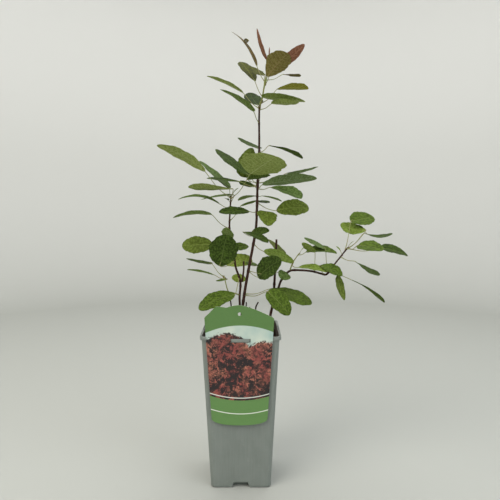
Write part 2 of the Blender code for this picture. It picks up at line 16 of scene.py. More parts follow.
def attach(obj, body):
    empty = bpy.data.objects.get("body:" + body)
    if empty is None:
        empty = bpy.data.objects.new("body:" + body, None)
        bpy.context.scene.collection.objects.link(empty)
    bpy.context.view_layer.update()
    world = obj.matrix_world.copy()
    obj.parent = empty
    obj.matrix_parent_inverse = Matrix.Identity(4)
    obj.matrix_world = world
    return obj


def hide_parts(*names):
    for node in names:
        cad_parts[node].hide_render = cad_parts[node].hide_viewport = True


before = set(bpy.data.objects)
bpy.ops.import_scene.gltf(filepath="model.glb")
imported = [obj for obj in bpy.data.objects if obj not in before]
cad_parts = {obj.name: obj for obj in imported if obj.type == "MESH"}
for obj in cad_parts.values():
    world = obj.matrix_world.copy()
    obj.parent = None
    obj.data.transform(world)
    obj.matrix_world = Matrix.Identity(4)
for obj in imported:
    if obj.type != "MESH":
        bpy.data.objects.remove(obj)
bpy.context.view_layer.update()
mm = 0.001
print("frame loaded:", len(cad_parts), "nodes")


# Shared helpers

def linearColour(code):
    # sRGB hex to linear light: divided by 12.92 in the darkest part, a 2.4 power curve above it
    channels = np.array([int(code[k:k + 2], 16) for k in (1, 3, 5)]) / 255
    linear = np.where(channels <= 0.04045, channels / 12.92, ((channels + 0.055) / 1.055) ** 2.4)
    return (*linear.tolist(), 1.0)


def fillInputs(node, inputs):
    # Each input takes a value, a colour's hex code, another node's socket, or a node's first result. They
    # are given by name, or as a list in the order of the sockets that the node's settings leave in use.
    if isinstance(inputs, dict):
        pairs = [(node.inputs[key], value) for key, value in inputs.items()]
    else:
        pairs = zip([socket for socket in node.inputs if socket.enabled], inputs)
    for socket, value in pairs:
        if isinstance(value, str):
            value = linearColour(value)
        if isinstance(value, bpy.types.Node):
            value = next(result for result in value.outputs if result.enabled)
        if isinstance(value, bpy.types.NodeSocket):
            node.id_data.links.new(value, socket)
        else:
            socket.default_value = value


def configured(thing, settings):
    # The same thing once its settings are made
    for key, value in settings.items():
        setattr(thing, key, value)
    return thing


def addNode(tree, kind, inputs=(), **settings):
    # One shader node: its settings, then its values and links
    node = configured(tree.nodes.new("ShaderNode" + kind), settings)
    fillInputs(node, inputs)
    return node


def newMaterial(name, **sockets):
    # A material of one Principled shader, whose sockets are given by name with _ for a space. With it come
    # add, which is addNode for its own tree, and the surface's place in the object.
    material = bpy.data.materials.new(name)
    material.use_nodes = True
    shader = material.node_tree.nodes["Principled BSDF"]
    fillInputs(shader, {key.replace("_", " "): value for key, value in sockets.items()})
    add = functools.partial(addNode, material.node_tree)
    return material, shader, add, add("TexCoord").outputs["Object"]


def perMetre(size):
    # Scale of a pattern whose repeat is a real size in millimetres
    return 1 / (size * mm)


def twoTones(add, place, size, span, first, second, **noise):
    # Patches of a real size in two colours, mixed by a noise whose span is drawn out to the full range
    patches = add("TexNoise", {"Vector": place, "Scale": perMetre(size), **noise})
    return add("Mix", (add("MapRange", (patches, *span)), first, second), data_type="RGBA")


def unit(vectors):
    # Each vector divided by its own length
    return vectors / np.linalg.norm(vectors, axis=-1, keepdims=True)


def anglesRound(count):
    # Equal steps round a full turn
    return 2 * np.pi * np.arange(count) / count


def circleOf(count):
    # Points round a circle of radius 1
    return np.stack([np.cos(anglesRound(count)), np.sin(anglesRound(count))], -1)


def shellFaces(rings, size):
    # Four-sided faces between neighbouring rings, then a fan of triangles to the point that closes each end
    start = np.arange(rings - 1)[:, None] * size
    column = np.arange(size)
    after = (column + 1) % size
    quads = np.stack([start + column, start + after, start + size + after, start + size + column], -1)
    last = (rings - 1) * size
    low = np.stack([np.full(size, rings * size), after, column], -1)
    high = np.stack([np.full(size, rings * size + 1), last + column, last + after], -1)
    return quads.reshape(-1, 4).tolist() + low.tolist() + high.tolist()


def closedShell(rings, kinds=None):
    # Points, faces and face kinds of a skin that passes through the rings and closes on each end's middle
    count, size = rings.shape[:2]
    points = np.vstack([rings.reshape(-1, 3), rings[0].mean(0), rings[-1].mean(0)])
    if kinds is None:
        kinds = np.zeros((count - 1) * size, int)
    return points, shellFaces(count, size), np.concatenate([kinds, kinds[:size], kinds[-size:]])


def looseObject(name, points, faces):
    # An object made of points in mm and faces, its place in its mesh
    mesh = bpy.data.meshes.new(name)
    mesh.from_pydata((np.asarray(points) * mm).tolist(), [], faces)
    piece = bpy.data.objects.new(name, mesh)
    bpy.context.scene.collection.objects.link(piece)
    return piece


def finishFaces(piece, materials, sharp):
    # The piece's finishes, smooth shading, and sharp edges where faces meet at more than this turn
    piece.data.materials.clear()
    for material in materials:
        piece.data.materials.append(material)
    piece.data.shade_smooth()
    piece.data.set_sharp_from_angle(angle=math.radians(sharp))


def settle(piece, nodes=()):
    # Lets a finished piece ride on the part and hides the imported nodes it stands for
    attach(piece, "root")
    if nodes:
        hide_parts(*nodes)


def addPiece(name, shells, materials, nodes=(), sharp=50):
    # Joins shells (points in mm, faces, face kinds) into one finished piece
    points, faces, kinds, count = [], [], [], 0
    for shellPoints, shellFaceList, shellKinds in shells:
        points.append(shellPoints)
        faces += [[corner + count for corner in face] for face in shellFaceList]
        kinds.append(shellKinds)
        count += len(shellPoints)
    piece = looseObject(name, np.vstack(points), faces)
    finishFaces(piece, materials, sharp)
    piece.data.polygons.foreach_set("material_index", np.concatenate(kinds).astype(np.int32))
    piece.data.validate()
    settle(piece, nodes)


def addModifier(piece, kind, **settings):
    # One live modifier with its settings
    configured(piece.modifiers.new(kind, kind), settings)


def cutOut(piece, name, rings):
    # Cuts the closed shell through the rings out of a piece
    points, faces, _ = closedShell(np.stack(rings))
    addModifier(piece, "BOOLEAN", operation="DIFFERENCE", object=looseObject(name, points, faces))


def applyModifiers(piece):
    # Puts the finished mesh in place of the modifiers, and takes away the shapes that cut it
    bpy.context.view_layer.update()
    shown = piece.evaluated_get(bpy.context.evaluated_depsgraph_get())
    mesh = bpy.data.meshes.new_from_object(shown)
    cutters = [modifier.object for modifier in piece.modifiers if modifier.type == "BOOLEAN"]
    piece.modifiers.clear()
    piece.data = mesh
    for cutter in cutters:
        bpy.data.objects.remove(cutter)


def waves(points, size, height, rng, count=9, spread=(0.7, 1.5)):
    # A rolling field at the points: height · the sum of cosines / √count, whose crests lie about size
    # apart in seeded directions
    directions = unit(rng.normal(size=(count, points.shape[-1])))
    lengths = size * rng.uniform(*spread, count)
    phases = rng.uniform(0, 2 * np.pi, count)
    turns = points @ (directions / lengths[:, None]).T * 2 * np.pi + phases
    return height * np.cos(turns).sum(-1) / math.sqrt(count)


def packedName(name):
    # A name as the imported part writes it, in small letters with _ between the words
    return re.sub("([A-Z])", r"_\1", name).lower()


# Paths of the stems: the source's own rule, written again here

groundLevel = 204.0
cadGap = 0.3
growSeed = 5

stemPaths = {
    "leader": ((0, 0, 204.3), (1.5, 0, 240), (5, 0, 270), (12, 2, 310), (18, 4, 342), (22, 5, 369),
               (24, 4, 430), (26, 2, 472), (26, 0, 529), (30, -1, 546), (33, -3, 563), (36, -5, 579)),
    "left": ((-3.6, -1.5, 250), (-2.2, -1.5, 264), (-1, 0, 286), (-7, 4, 304), (-10, 7, 319),
             (-17, 14, 362), (-15, 18, 410)),
    "right": ((36, 5, 204.3), (43, 6, 237), (46, 7, 252), (48.5, 9, 279), (52, 17, 347)),
    "arm": ((51.8, 3, 263), (55, 0, 280), (59, -2, 290), (69, -6, 302), (81, -9, 304), (101, -14, 303),
            (115, -17, 299.5), (122, -18, 300), (133, -22, 316), (150, -26, 339)),
    "armTwig": ((70.4, -7.4, 306), (74.5, -10, 316), (82, -14, 328)),
    "greenShoot": ((-5.8, -3.6, 268), (-13, -8, 272), (-19, -12, 276), (-25, -16, 302)),
    "leftSpur": ((2.6, -2.4, 288), (3.6, -3.4, 302), (4, -4, 317)),
    "snagLeft": ((-12, 10, 204.3), (-13.5, 10, 236), (-16, 10, 258)),
    "snagBack": ((7, 12, 204.3), (6.5, 12, 232), (7.5, 12, 254)),
    "snagFront": ((12, -10, 204.3), (11.5, -10, 232), (12.5, -10, 251)),
    "snagRight": ((20, 10, 204.3), (21, 10, 243), (25, 8, 255)),
}

# Side branches: the stem that carries each, that stem's radius there and the branch's own
stemSeats = {
    "left": ("leader", 2.2, 1.7),
    "leftSpur": ("left", 1.65, 1.4),
    "arm": ("right", 1.9, 1.7),
    "greenShoot": ("left", 1.7, 0.8),
    "armTwig": ("arm", 1.6, 0.8),
}


def smoothTrack(points, steps=6):
    # A cubic through each pair of neighbours, its end slopes half the step between the points on either side
    knots = np.array(points, float)
    knots = np.vstack([2 * knots[0] - knots[1], knots, 2 * knots[-1] - knots[-2]])
    a, b, c, d = (knots[k:len(knots) - 3 + k, None] for k in range(4))
    t = (np.arange(steps) / steps)[:, None]
    curve = 0.5 * (2 * b + (c - a) * t + (2 * a - 5 * b + 4 * c - d) * t ** 2
                   + (3 * b - a - 3 * c + d) * t ** 3)
    return np.vstack([curve.reshape(-1, 3), knots[-2]])


def nearestSpot(track, point):
    # The track's nearest point to another one: each stretch's share is clipped to its ends, and the best kept
    start, step = track[:-1], np.diff(track, axis=0)
    share = np.clip(((point - start) * step).sum(1) / (step ** 2).sum(1), 0, 1)
    spots = start + step * share[:, None]
    return spots[np.argmin(np.linalg.norm(spots - point, axis=1))]


def seatedTrack(name):
    # A stem's track, with a branch's foot slid up to its parent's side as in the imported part
    path = stemPaths[name]
    if name not in stemSeats:
        return smoothTrack(path)
    parent, parentRadius, radius = stemSeats[name]
    foot = np.array(path[0], float)
    nearest = nearestSpot(smoothTrack(stemPaths[parent]), foot)
    away = unit(foot - nearest)
    direction = unit(np.array(path[1]) - foot)
    tilt = math.sqrt(1 - float(direction @ away) ** 2)
    foot = nearest + away * (parentRadius + cadGap + radius * tilt)
    return smoothTrack((foot, *path[1:]))


def pointsAlong(track, distances):
    # Points at distances along a track, read from its running length
    run = np.concatenate([[0], np.cumsum(np.linalg.norm(np.diff(track, axis=0), axis=1))])
    return np.stack([np.interp(distances, run, track[:, axis]) for axis in range(3)], -1)


def tubeRings(points, radii, sides, relief=0):
    # Rings of points round a path: point + radius · (side · cos + up · sin), square to the way it runs
    way = unit(np.gradient(points, axis=0))
    reference = np.eye(3)[np.argmin(np.abs(way.mean(0)))]
    side = unit(np.cross(way, reference))
    up = np.cross(way, side)
    cos, sin = circleOf(sides).T[..., None]
    out = side[:, None] * cos + up[:, None] * sin
    reach = np.asarray(radii)[:, None] + relief
    return points[:, None] + out * reach[..., None]


# Masses of leaves: stem, where the mass begins and ends along it, young leaves and their tint, then a row
# for each leaf: distance up the stem, (heading, rise, length) of the stalk, (heading, rise, length, width,
# roll) of the blade, (fold, arch, twist, share of the length where it is widest), tint. A blade with no
# roll lies level from side to side.
leafMasses = {
    "lowLeaderLeaves": ("leader", 95.3, 148.5, 0, "leaf", (
        (3, (342, -31, 17), (341, 38, 44, 32, -68), (0.22, 0.08, 0, 0.5), "deep"),
        (3, (99, -35, 29), (150, 8, 25, 14, 56), (0.10, 0.01, 4, 0.5), "pale"),
        (3, (337, 0, 46), (11, -24, 20, 16, -50), (0.04, -0.10, 0, 0.4), "sage"),
        (12, (48, -8, 18), (149, 12, 21, 8, 26), (0.04, 0, 0, 0.5), "sage"),
        (16, (82, -4, 26), (155, -6, 45, 24, 52), (0.22, 0.08, -4, 0.45), "pale"),
        (43, (345, -35, 19), (10, -20, 48, 26, -32), (0.10, 0.03, -5, 0.45), "light"),
    )),
    "middleLeaderLeaves": ("leader", 148.8, 214.5, 0, "leaf", (
        (1, (237, 12, 32), (327, -19, 43, 22, -8), (0.10, 0.06, 0, 0.6), "deep"),
        (3, (41, -17, 29), (33, -41, 42, 20, 2), (0.10, 0, 5, 0.5), "pale"),
        (4, (250, 19, 14), (324, 0, 29, 18, -38), (0.10, -0.01, 0, 0.42), "deep"),
        (32, (308, 12, 22), (274, -44, 29, 29, 12), (0.10, 0.03, 3, 0.3), "fresh"),
        (36, (219, 2, 14), (200, -2, 45, 24, 28), (0.10, 0.03, 0, 0.5), "deep"),
        (45, (85, 20, 15), (59, 5, 31, 19, -12), (0.04, -0.03, 0, 0.5), "deep"),
        (49, (11, -22, 31), (10, 5, 49, 27, -60), (0.16, 0.09, -4, 0.5), "fresh"),
        (58, (83, 3, 10), (138, -8, 40, 16, -6), (0.10, 0.06, 0, 0.5), "leaf"),
        (59, (54, 1, 12), (35, -12, 37, 14, 0), (0.16, 0.02, 0, 0.5), "leaf"),
    )),
    "upperLeaderLeaves": ("leader", 214.8, 326.5, 0, "leaf", (
        (3, (341, 37, 9), (350, 6, 78, 36, 20), (0.10, 0.03, 0, 0.5), "sage"),
        (3, (317, 3, 24), (327, -19, 52, 32, -16), (0.22, 0.05, 0, 0.6), "sage"),
        (3, (130, 34, 12), (126, 2, 32, 21, -26), (0.10, 0, 0, 0.5), "dark"),
        (6, (188, 15, 25), (165, 7, 52, 22, 14), (0.10, 0, 0, 0.6), "deep"),
        (7, (116, 21, 39), (60, 73, 48, 32, -8), (0.22, 0.09, 0, 0.3), "fresh"),
        (9, (68, 50, 35), (88, 6, 57, 28, 0), (0.10, 0.03, 4, 0.5), "deep"),
        (9, (153, 44, 18), (145, 35, 75, 30, 6), (0.04, -0.01, 0, 0.5), "deep"),
        (11, (11, 19, 45), (10, 12, 49, 18, 12), (0.04, -0.04, 0, 0.5), "sage"),
        (12, (211, 11, 18), (339, 9, 35, 24, 12), (0.10, 0.02, 0, 0.5), "deep"),
        (54, (39, 32, 22), (30, -15, 61, 26, -6), (0.16, 0.04, 0, 0.62), "deep"),
        (56, (95, 27, 11), (132, 25, 49, 24, 0), (0.10, -0.03, 0, 0.3), "deep"),
    )),
    "tipLeaves": ("leader", 308.8, 378, 1, "red", (
        (1, (230, 50, 19), (216, 22, 60, 26, 12), (0.10, 0.05, 0, 0.4), "leaf"),
        (20, (310, 9, 26), (323, -5, 43, 24, 10), (0.16, -0.01, 0, 0.5), "pale"),
        (21, (180, 44, 32), (175, 25, 57, 22, -4), (0.10, 0.04, 0, 0.35), "pale"),
        (22, (293, 57, 16), (339, -10, 63, 30, 8), (0.10, 0.02, 0, 0.4), "pale"),
        (25, (111, 20, 9), (106, 33, 49, 27, 4), (0.04, -0.03, 4, 0.5), "dark"),
        (28, (37, 39, 40), (28, 6, 54, 26, 10), (0.16, 0.04, 0, 0.5), "olive"),
        (38, (123, 53, 32), (121, 43, 55, 24, 2), (0.10, 0.02, 6, 0.58), "olive"),
        (50, (83, 76, 19), (135, 33, 34, 16, 20), (0.04, -0.04, 0, 0.5), "olive"),
        (52, (5, 66, 24), (347, 35, 57, 17, 42), (0.04, -0.06, 5, 0.5), "red"),
        (53, (294, 47, 14), (324, 37, 42, 36, 24), (0.16, 0.06, -5, 0.6), "bronze"),
        (55, (11, 80, 38), (82, 80, 15, 3, 46), (0.10, 0, 0, 0.5), "red"),
        (58, (143, 60, 29), (150, 52, 69, 12, 4), (0.10, 0.09, 0, 0.35), "bronze"),
        (61, (33, 22, 32), (38, 4, 34, 16, 0), (0.10, 0.02, 0, 0.75), "bronze"),
        (65, (271, 68, 23), (236, 56, 42, 14, 36), (0.04, -0.04, 0, 0.35), "red"),
    )),
    "leftLowLeaves": ("left", 40.3, 124.5, 0, "leaf", (
        (3, (255, -44, 31), (197, -20, 55, 32, 28), (0.10, 0.07, 4, 0.5), "leaf"),
        (27, (240, -5, 39), (322, 74, 46, 41, -138), (0.04, -0.02, -4, 0.52), "deep"),
        (44, (154, 12, 34), (161, -3, 51, 26, 78), (0.10, 0.05, 4, 0.5), "fresh"),
        (48, (80, -5, 13), (40, 2, 28, 16, -44), (0.10, 0.03, 0, 0.35), "leaf"),
        (59, (263, 3, 12), (254, 49, 24, 18, 4), (0.04, -0.02, 0, 0.5), "leaf"),
        (75, (193, 39, 34), (190, -5, 56, 22, -16), (0.10, 0.08, 0, 0.4), "leaf"),
    )),
    "leftTopLeaves": ("left", 108.8, 163.5, 2, "leaf", (
        (18, (342, 52, 28), (26, 17, 31, 14, -8), (0.10, 0, 0, 0.5), "leaf"),
        (37, (179, 23, 17), (175, 6, 62, 18, 12), (0.22, 0.12, 0, 0.5), "leaf"),
        (45, (70, 42, 18), (151, -6, 60, 18, 14), (0.16, 0.02, 0, 0.5), "leaf"),
        (48, (106, 64, 21), (155, 40, 66, 28, 4), (0.10, 0.01, 0, 0.35), "sage"),
        (49, (295, 63, 18), (195, 2, 65, 30, -16), (0.10, -0.01, 0, 0.7), "pale"),
        (51, (304, 33, 61), (295, 12, 77, 58, 18), (0.10, 0.01, -4, 0.5), "pale"),
        (52, (216, 40, 57), (198, 27, 75, 34, -14), (0.04, 0.06, 0, 0.5), "pale"),
    )),
    "lowTwigLeaves": ("leader", 58.3, 90, 0, "leaf", (
        (4, (317, 13, 45), (351, -45, 45, 30, -46), (0.22, 0.06, -8, 0.42), "leaf"),
        (6, (344, 13, 38), (355, -18, 64, 32, -24), (0.06, 0.03, -8, 0.58), "leaf"),
    )),
    "greenShootLeaves": ("greenShoot", 0, 42, 0, "leaf", (
        (36, (42, 4, 5), (151, -10, 20, 8, 22), (0.10, -0.02, 0, 0.5), "leaf"),
        (37, (202, 23, 16), (201, 13, 41, 16, 8), (0.04, 0.04, 0, 0.45), "leaf"),
        (39, (152, 42, 28), (160, 9, 42, 16, 6), (0.04, -0.01, 0, 0.3), "deep"),
    )),
    "armTwigLeaves": ("armTwig", 0, 27, 1, "light", (
        (6, (296, -4, 18), (339, -7, 41, 22, -14), (0.16, 0.07, 0, 0.5), "light"),
        (24, (44, 10, 18), (350, -2, 44, 26, -18), (0.22, 0.09, 0, 0.42), "leaf"),
    )),
    "armEndLeaves": ("arm", 74.6, 148, 2, "light", (
        (8, (266, 83, 28), (214, 33, 27, 14, -20), (0.04, -0.03, 0, 0.5), "fresh"),
        (21, (239, 42, 20), (354, -22, 34, 24, -30), (0.16, 0.06, 0, 0.6), "leaf"),
        (27, (104, 76, 35), (151, 26, 36, 20, 6), (0.04, 0, 0, 0.5), "sage"),
        (30, (318, -11, 16), (281, -56, 38, 20, 34), (0.10, -0.05, 4, 0.45), "fresh"),
        (39, (17, -34, 32), (17, -33, 68, 18, 4), (0.10, 0.05, 0, 0.75), "deep"),
        (57, (325, -13, 22), (314, -24, 41, 24, 2), (0.04, 0, 0, 0.75), "deep"),
        (67, (50, 69, 44), (35, 9, 46, 30, -38), (0.10, 0, 4, 0.5), "leaf"),
        (69, (17, 41, 41), (158, 14, 37, 24, 38), (0.04, -0.09, 0, 0.55), "light"),
        (71, (324, 42, 34), (325, -1, 39, 18, -16), (0.04, -0.09, 0, 0.75), "deep"),
        (72, (280, 10, 39), (313, -7, 38, 22, -32), (0.16, 0.05, 0, 0.42), "leaf"),
        (72, (4, 0, 48), (10, -15, 42, 24, -30), (0.16, 0.06, 0, 0.4), "deep"),
    )),
}

# The source's rule for a leaf's own shape and for the young leaves at a growing tip
leafRule = {
    "fullness": 0.52,
    "ribReach": 0.15,
    "stalkSag": 0.08,
    "goldenTurn": 137.5,
    "youngSpread": 0.3,
    "youngInset": 1,
    "youngSway": 20,
    "youngDip": 15,
    "youngStalk": (4.0, 7.0),
    "youngLength": (8.0, 14.0),
    "youngRise": (25.0, 65.0),
    "youngSlimness": 0.45,
    "youngFold": (0.10, 0.28),
    "youngArch": (0.02, 0.09),
    "youngTwist": (-15.0, 15.0),
    "youngWidest": 0.5,
}

# What the eye sees beyond that. Rings and margins are shares of the length and of the half width.
leafLook = {
    "veinPairs": 9,
    "youngVeinPairs": 5,
    "veinSpan": (0.09, 0.9),
    "footRings": (0.002, 0.012, 0.03, 0.055),
    "tipRings": (0.935, 0.96, 0.98, 0.992, 0.998),
    "acrossPoints": (1, 0.97, 0.82, 0.58, 0.3, 0),
    "veinSweep": 0.13,
    "sweepPower": 1.2,
    "veinWidth": 0.5,
    "veinTaper": 0.6,
    "thickness": 0.34,
    "thinMargin": 0.9,
    "thinPower": 4,
    "ribWidth": (1.05, 0.4),
    "ribMostShare": 0.35,
    "ribDepth": 0.45,
    "ribGroove": 0.35,
    "ribFall": 0.8,
    "ribSpread": 0.7,
    "fullLength": 45,
    "fullWidth": 24,
    "puff": 0.30,
    "foldPower": 1.3,
    "ripple": 0.008,
    "rippleCount": (2.2, 3.6),
    "ripplePower": 2.5,
    "wobble": 0.04,
    "wobbleCounts": (5.3, 14),
    "wobbleSecond": 0.8,
    "marginFrom": 0.9,
    "endFade": 0.08,
    "endThickness": 0.25,
    "twistCentre": 0.3,
    "stalkRadius": 0.5,
    "stalkSides": 8,
    "stalkSteps": 7,
    "stalkLeast": 0.55,
    "stalkFullAt": 100,
    "stalkShares": (0, 0.12, 0.35, 0.66, 0.8, 1),
    "stalkSwell": (1.9, 1.25, 0.9, 1, 0.85, 0.3),
    "ribUnder": 0.2,
    "sharpFrom": 60,
    "seed": 100,
}

bud = {
    "length": 2.6,
    "outward": 1.2,
    "upward": 1.4,
    "radiusShare": 0.36,
    "tipRadius": 0.06,
    "footSwell": 0.15,
    "tipPower": 1.6,
    "rings": 7,
    "sides": 8,
    "stemBetween": (-2, 2),
    "steepness": 2,
}


def headingVector(heading, rise):
    # The way of a heading and a rise: cos rise · (cos heading, sin heading), and sin rise upwards
    turn, lift = math.radians(heading), math.radians(rise)
    return np.array([math.cos(lift) * math.cos(turn), math.cos(lift) * math.sin(turn), math.sin(lift)])


def bladeAxes(heading, rise, roll):
    # Along the blade, out to one side, and up from its upper face; the roll turns the side towards up
    along = headingVector(heading, rise)
    side = unit(np.cross(along, (0, 0, 1)))
    up = np.cross(side, along)
    turn = math.radians(roll)
    rolled = side * math.cos(turn) + up * math.sin(turn)
    return along, rolled, np.cross(rolled, along)


def youngRows(count, stemLength, tint, rng):
    # Small leaves in a spiral round the end of a shoot, each turned by the golden angle from the last
    rows = []
    sway = leafRule["youngSway"]
    for index in range(count):
        share = 1 - leafRule["youngSpread"] * index / count
        heading = index * leafRule["goldenTurn"] + rng.uniform(-sway, sway)
        rise = rng.uniform(*leafRule["youngRise"])
        length = rng.uniform(*leafRule["youngLength"])
        stalk = (heading, rise, rng.uniform(*leafRule["youngStalk"]))
        blade = (heading, rise - leafRule["youngDip"], length, length * leafRule["youngSlimness"], 0)
        shape = [rng.uniform(*leafRule[key]) for key in ("youngFold", "youngArch", "youngTwist")]
        place = stemLength * share - leafRule["youngInset"]
        rows.append((place, stalk, blade, (*shape, leafRule["youngWidest"]), tint))
    return rows


def bladeRings(pairs, length):
    # Shares along the blade of its rings, their offsets at a vein's two edges, and which stretches are veins.
    # Between two veins lies one ring more.
    veins, gap = np.linspace(*leafLook["veinSpan"], pairs, retstep=True)
    half = leafLook["veinWidth"] / length / 2
    rings = [(share, 0, False) for share in leafLook["footRings"]]
    for vein in veins:
        rings += [(vein, -half, True), (vein, half, False), (vein + gap / 2, 0, False)]
    rings[-1:] = [(share, 0, False) for share in leafLook["tipRings"]]
    shares, offsets, isVein = np.array(rings).T
    return shares, offsets, isVein[:-1] > 0, veins[0], gap


def ribAt(base, axes, length, arch, t):
    # The midrib: base + along · length · t + up · arch · length · 4t(1 - t)
    t = np.asarray(t)[..., None]
    return base + axes[0] * length * t + axes[2] * arch * length * 4 * t * (1 - t)


def bladeShell(base, axes, length, width, shape, rng):
    # A closed thin oval. Round each ring the point goes across the upper face and back along the lower
    # one. Its place is rib(t) + side · a · w(t) + up · (fold · w · |a|^1.3 + ripple + puff ± half the
    # thickness), where w = width / 2 · sin(pi · t^power)^fullness, the power puts the widest part at its
    # share of the length, and t runs ahead with |a| as the side veins do.
    look = leafLook
    _, side, up = axes
    fold, arch, twist, widestShare = shape
    power = math.log(0.5) / math.log(widestShare)
    small = min(1, length / look["fullLength"])
    young = length <= leafRule["youngLength"][1]
    pairs = look["youngVeinPairs"] if young else look["veinPairs"]
    shares, offsets, veinStretch, firstVein, gap = bladeRings(pairs, length)

    def halfWidth(t):
        # w(t) before the margin's unevenness
        return width / 2 * np.sin(np.pi * t ** power) ** leafRule["fullness"]

    # Round a ring: the side of the rib, how far out from it, and which skin
    half = np.array(look["acrossPoints"])
    onSide = np.repeat((-1, 0, 1), (len(half), 1, len(half)))
    outward = np.concatenate([half, [0], half[::-1]])
    signs, reach = (np.concatenate([row, row[-2:0:-1]]) for row in (onSide, outward))
    upper = np.repeat((0, 1, 0, -1), (1, len(onSide) - 2, 1, len(onSide) - 2))

    # s is the share along the blade before the veins' sweep, a the share of the half width, t the swept share
    s = shares[:, None] + offsets[:, None] * (1 - look["veinTaper"] * reach)
    ribWidth = np.interp(shares, (0, 1), look["ribWidth"])[:, None] * small
    ribShare = np.minimum(ribWidth / 2 / halfWidth(s), look["ribMostShare"])
    a = np.abs(signs) * (ribShare + (1 - ribShare) * reach)
    t = s + look["veinSweep"] * 4 * s * (1 - s) * a ** look["sweepPower"]
    fine = np.clip(np.minimum(t, 1 - t) / look["endFade"], 0, 1)

    # The margin's uneven line, and ripples and puffs between the veins that fade out at both ends
    phase = rng.uniform(0, 2 * np.pi, 4)
    count = rng.uniform(*look["rippleCount"], 2)
    draws = (phase[:2], phase[2:], count)
    edge, edgePhase, edgeCount = (np.where(signs < 0, left, right) for left, right in draws)
    coarse, close = look["wobbleCounts"]
    unevenness = np.sin(coarse * np.pi * t + edge)
    unevenness = unevenness + look["wobbleSecond"] * np.sin(close * np.pi * t + 3 * edge)
    w = halfWidth(t) * (1 + look["wobble"] * unevenness * (a > look["marginFrom"]))
    across = signs * a * w
    puff = np.sin(np.pi * (s - firstVein) / gap) ** 2 * 4 * a * (1 - a) * fine
    puff = puff * look["puff"] * min(1, width / look["fullWidth"])
    ripple = np.sin(2 * np.pi * edgeCount * t + edgePhase) * fine
    ripple = ripple * look["ripple"] * width * a ** look["ripplePower"]

    # Thickness, with the rib raised below and sunk a little above
    thick = look["thickness"] / 2 * (1 - look["thinMargin"] * a ** look["thinPower"])
    thick = thick * np.minimum(1, fine + look["endThickness"])
    rib = look["ribDepth"] * small * (1 - look["ribFall"] * t)
    rib = rib * np.exp(-(across / look["ribSpread"]) ** 2)
    lift = np.select([upper > 0, upper < 0], [thick - look["ribGroove"] * rib, -thick - rib])
    height = fold * w * a ** look["foldPower"] + ripple + puff + lift

    turn = (math.radians(twist) * (t - look["twistCentre"]))[..., None]
    sideThere = side * np.cos(turn) + up * np.sin(turn)
    upThere = up * np.cos(turn) - side * np.sin(turn)
    rings = ribAt(base, axes, length, arch, t) + sideThere * across[..., None] + upThere * height[..., None]

    # Kinds of face: skin above, skin below, vein above, vein below
    widest = np.maximum(reach, np.roll(reach, -1))
    below = np.arange(len(signs)) >= len(signs) // 2
    isVein = (veinStretch[:, None] & (widest < 1) & below) | (widest == 0)
    return closedShell(rings, (2 * isVein + below).ravel())


def stalkShell(root, base, axes, length, arch, stalkLength):
    # A round stalk, swollen where it leaves the stem, which sags a little and runs on as the blade's rib
    sagged = (root + base) / 2 - np.array([0, 0, leafRule["stalkSag"] * stalkLength])
    under = ribAt(base, axes, length, arch, leafRule["ribReach"]) - axes[2] * leafLook["ribUnder"]
    track = smoothTrack((root, sagged, base, under), leafLook["stalkSteps"])
    swell = np.interp(np.linspace(0, 1, len(track)), leafLook["stalkShares"], leafLook["stalkSwell"])
    small = min(1, leafLook["stalkLeast"] + length / leafLook["stalkFullAt"])
    radii = swell * leafLook["stalkRadius"] * small
    return closedShell(tubeRings(track, radii, leafLook["stalkSides"]))


def budShell(spot, way):
    # A pointed bud: rings along its axis whose radius swells and then runs out to the tip
    share = np.linspace(0, 1, bud["rings"])
    points = spot + way * (share * bud["length"])[:, None]
    swell = np.sqrt(np.clip(share + bud["footSwell"], 0, 1)) * (1 - share ** bud["tipPower"])
    radii = bud["length"] * bud["radiusShare"] * swell + bud["tipRadius"]
    return closedShell(tubeRings(points, radii, bud["sides"]))


# Finishes of the plant

# Tints of the leaves: upper skin, its mottle and veins, then lower skin, its mottle and veins
leafTints = {
    "dark": ("#1c2808", "#324613", "#45532a", "#384a1c", "#4c642b", "#66793f"),
    "deep": ("#283511", "#445821", "#515f30", "#425220", "#586c30", "#6e8044"),
    "leaf": ("#3a4a17", "#576d26", "#637038", "#617439", "#7c9152", "#929f68"),
    "fresh": ("#4b571f", "#677831", "#727f3e", "#637531", "#80944a", "#96a25e"),
    "light": ("#576825", "#758b3b", "#7f8c48", "#697b42", "#85995c", "#9ca76e"),
    "pale": ("#64732c", "#829442", "#8a954e", "#7e8b47", "#9aa861", "#aeb57c"),
    "sage": ("#445728", "#617740", "#6d7d4e", "#647749", "#819562", "#96a37a"),
    "olive": ("#343704", "#4e520c", "#6c6e2c", "#7f7d2b", "#989642", "#a4a05a"),
    "bronze": ("#443919", "#66532c", "#726238", "#6a6034", "#837946", "#958058"),
    "red": ("#5e3f2d", "#7f583d", "#7e5c46", "#6e4836", "#8a604b", "#96715a"),
}


def leafSkin(name, base, mottle, roughness, gloss):
    # Living leaf skin, waxy and matt: two near tones in patches 2.6 mm across, and a net of fine veins
    # 1.6 mm apart that only stirs the highlights
    material, shader, add, place = newMaterial(name, Roughness=roughness, Specular_IOR_Level=gloss)
    net = add("TexVoronoi", {"Vector": place, "Scale": perMetre(1.6)}, feature="DISTANCE_TO_EDGE")
    fillInputs(shader, {
        "Base Color": twoTones(add, place, 2.6, (0.43, 0.59), base, mottle, Detail=5.0, Roughness=0.6),
        "Normal": add("Bump", {"Height": net, "Strength": 0.35, "Distance": 0.12 * mm}),
    })
    return material


